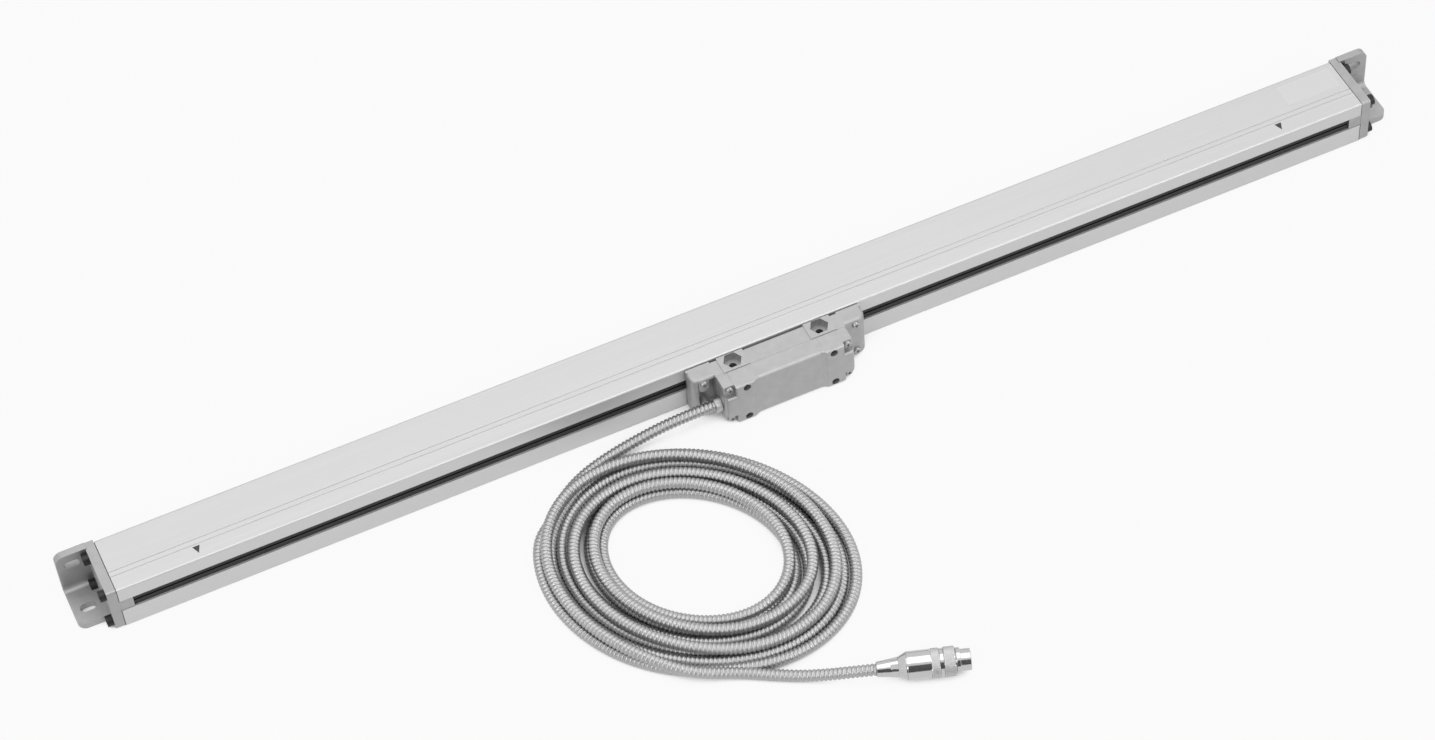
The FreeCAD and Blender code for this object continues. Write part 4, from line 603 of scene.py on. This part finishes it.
def ranged(tree, value, low, high):
    """Number between two limits by a noise value."""
    node = tree.nodes.new("ShaderNodeMapRange")
    node.inputs["From Min"].default_value = NOISE_LOW
    node.inputs["From Max"].default_value = NOISE_HIGH
    node.inputs["To Min"].default_value = low
    node.inputs["To Max"].default_value = high
    tree.links.new(value, node.inputs["Value"])
    return node.outputs[0]


def shaded(tree, value, dark, light):
    """Colour between two greys or tints by a noise value."""
    ramp = tree.nodes.new("ShaderNodeValToRGB")
    ramp.color_ramp.elements[0].position = NOISE_LOW
    ramp.color_ramp.elements[0].color = (*dark, 1.0)
    ramp.color_ramp.elements[1].position = NOISE_HIGH
    ramp.color_ramp.elements[1].color = (*light, 1.0)
    tree.links.new(value, ramp.inputs[0])
    return ramp.outputs[0]


def bump(tree, shader, value, depth):
    node = tree.nodes.new("ShaderNodeBump")
    node.inputs["Strength"].default_value = 1.0
    node.inputs["Distance"].default_value = depth
    tree.links.new(value, node.inputs["Height"])
    tree.links.new(node.outputs[0], shader.inputs["Normal"])


def brushed_aluminium():
    material, tree, shader = new_material("brushed_aluminium", grey(0.65), 0.55, 0.42)
    lines = grain(tree, BRUSH_GRAIN)
    dark, light = BRUSH_GREYS
    tree.links.new(shaded(tree, lines, grey(dark), grey(light)), shader.inputs["Base Color"])
    tree.links.new(ranged(tree, lines, *BRUSH_ROUGHNESS), shader.inputs["Roughness"])
    bump(tree, shader, lines, BRUSH_DEPTH)
    return material


def cast_aluminium(name, level, metallic=0.85):
    material, tree, shader = new_material(name, grey(level), metallic, 0.5)
    cloud = grain(tree, (CLOUD_GRAIN, CLOUD_GRAIN, CLOUD_GRAIN), CLOUD_DETAIL)
    dark, light = CLOUD_TONES
    tree.links.new(
        shaded(tree, cloud, grey(level * dark), grey(level * light)),
        shader.inputs["Base Color"])
    sand = grain(tree, (SAND_GRAIN, SAND_GRAIN, SAND_GRAIN), SAND_DETAIL)
    tree.links.new(ranged(tree, sand, *SAND_ROUGHNESS), shader.inputs["Roughness"])
    bump(tree, shader, sand, SAND_DEPTH)
    return material


def plain_finish(name, colour, metallic, roughness, scale=FINE_GRAIN, depth=FINE_DEPTH):
    material, tree, shader = new_material(name, colour, metallic, roughness)
    fine = grain(tree, (scale, scale, scale))
    dark, light = FINE_TONES
    dark_colour = tuple(channel * dark for channel in colour)
    light_colour = tuple(min(1.0, channel * light) for channel in colour)
    tree.links.new(shaded(tree, fine, dark_colour, light_colour), shader.inputs["Base Color"])
    smoothest = max(LOWEST_ROUGHNESS, roughness - FINE_SPREAD)
    tree.links.new(
        ranged(tree, fine, smoothest, roughness + FINE_SPREAD), shader.inputs["Roughness"])
    bump(tree, shader, fine, depth)
    return material


def clear_glass():
    material, tree, shader = new_material("scale_glass", (0.86, 0.92, 0.90), 0.0, 0.05)
    shader.inputs["Transmission Weight"].default_value = 0.9
    shader.inputs["IOR"].default_value = 1.5
    bump(tree, shader, grain(tree, GRATING_GRAIN), GRATING_DEPTH)
    return material


def make_materials():
    """Finish of each of the record's material slots: name, colour, metallic share, roughness."""
    return {
        "housing_aluminium": brushed_aluminium(),
        "cast_aluminium": cast_aluminium("cap_casting", 0.43),
        "gasket_rubber": plain_finish("gasket_rubber", grey(0.035), 0.0, 0.75),
        "seam_gasket": plain_finish("sealing_sheet", grey(0.52), 0.0, 0.7),
        "lip_rubber": plain_finish("lip_rubber", grey(0.012), 0.0, 0.55, SOFT_GRAIN),
        "black_screws": plain_finish("black_oxide", grey(0.03), 0.5, 0.42),
        "steel_screws": plain_finish("zinc_plating", grey(0.45), 0.85, 0.38),
        "scale_glass": clear_glass(),
        "printed_mark": plain_finish("printed_mark", grey(0.05), 0.0, 0.6, PRINT_GRAIN),
        "plate_foil": plain_finish("plate_foil", grey(0.72), 0.3, 0.45, PRINT_GRAIN),
        "reader_aluminium": cast_aluminium("reader_casting", 0.46),
        "bracket_aluminium": cast_aluminium("bracket_casting", 0.47, 0.6),
        "blade_steel": plain_finish("blade_steel", grey(0.55), 1.0, 0.3),
        "flat_cable_film": plain_finish("amber_film", (0.55, 0.28, 0.07), 0.0, 0.3),
        "carriage_plastic": plain_finish("carriage_plastic", grey(0.05), 0.0, 0.5),
        "bearing_steel": plain_finish("bearing_steel", grey(0.6), 1.0, 0.22),
        "board_green": plain_finish("circuit_board", (0.02, 0.16, 0.07), 0.0, 0.35),
        "lamp_lens": plain_finish("lamp_lens", (0.5, 0.06, 0.04), 0.0, 0.15),
        "black_plastic": plain_finish("black_plastic", grey(0.03), 0.0, 0.45),
        "white_plastic": plain_finish("white_plastic", (0.78, 0.78, 0.75), 0.0, 0.4),
        "cable_sheath": plain_finish("cable_sheath", grey(0.05), 0.0, 0.5),
        "gland_metal": plain_finish("nickel_plating", grey(0.50), 0.9, 0.36),
        "conduit_steel": plain_finish(
            "conduit_strip", grey(0.45), 1.0, 0.42, depth=STRIP_DEPTH),
        "conduit_stand_in": plain_finish("conduit_stand_in", grey(0.5), 0.5, 0.4),
        "plug_chrome": plain_finish(
            "satin_chrome", grey(0.55), 1.0, 0.12, depth=CHROME_DEPTH),
        "contact_brass": plain_finish("gold_contacts", (0.80, 0.58, 0.22), 1.0, 0.25),
    }


def dress(materials):
    slots = {part["node"]: part["material_slot"] for part in frame["record"]["subparts"]}
    for name, node in nodes.items():
        material = materials[slots[name]]
        if not node.data.materials:
            node.data.materials.append(material)
        for slot in node.material_slots:
            slot.material = material


bpy.context.scene.view_settings.view_transform = "Standard"
make_camera()
make_world()
make_floor()
for box_name, box_setup in SOFT_BOXES.items():
    soft_box(box_name, *box_setup)
make_dark_flag()
materials = make_materials()
dress(materials)
plug_pieces = [
    make_backshell(materials["plug_chrome"]),
    make_coupling_ring(
        materials["plug_chrome"], plain_finish("knurled_chrome", grey(0.52), 1.0, 0.45)),
]
make_conduit(materials["conduit_steel"])
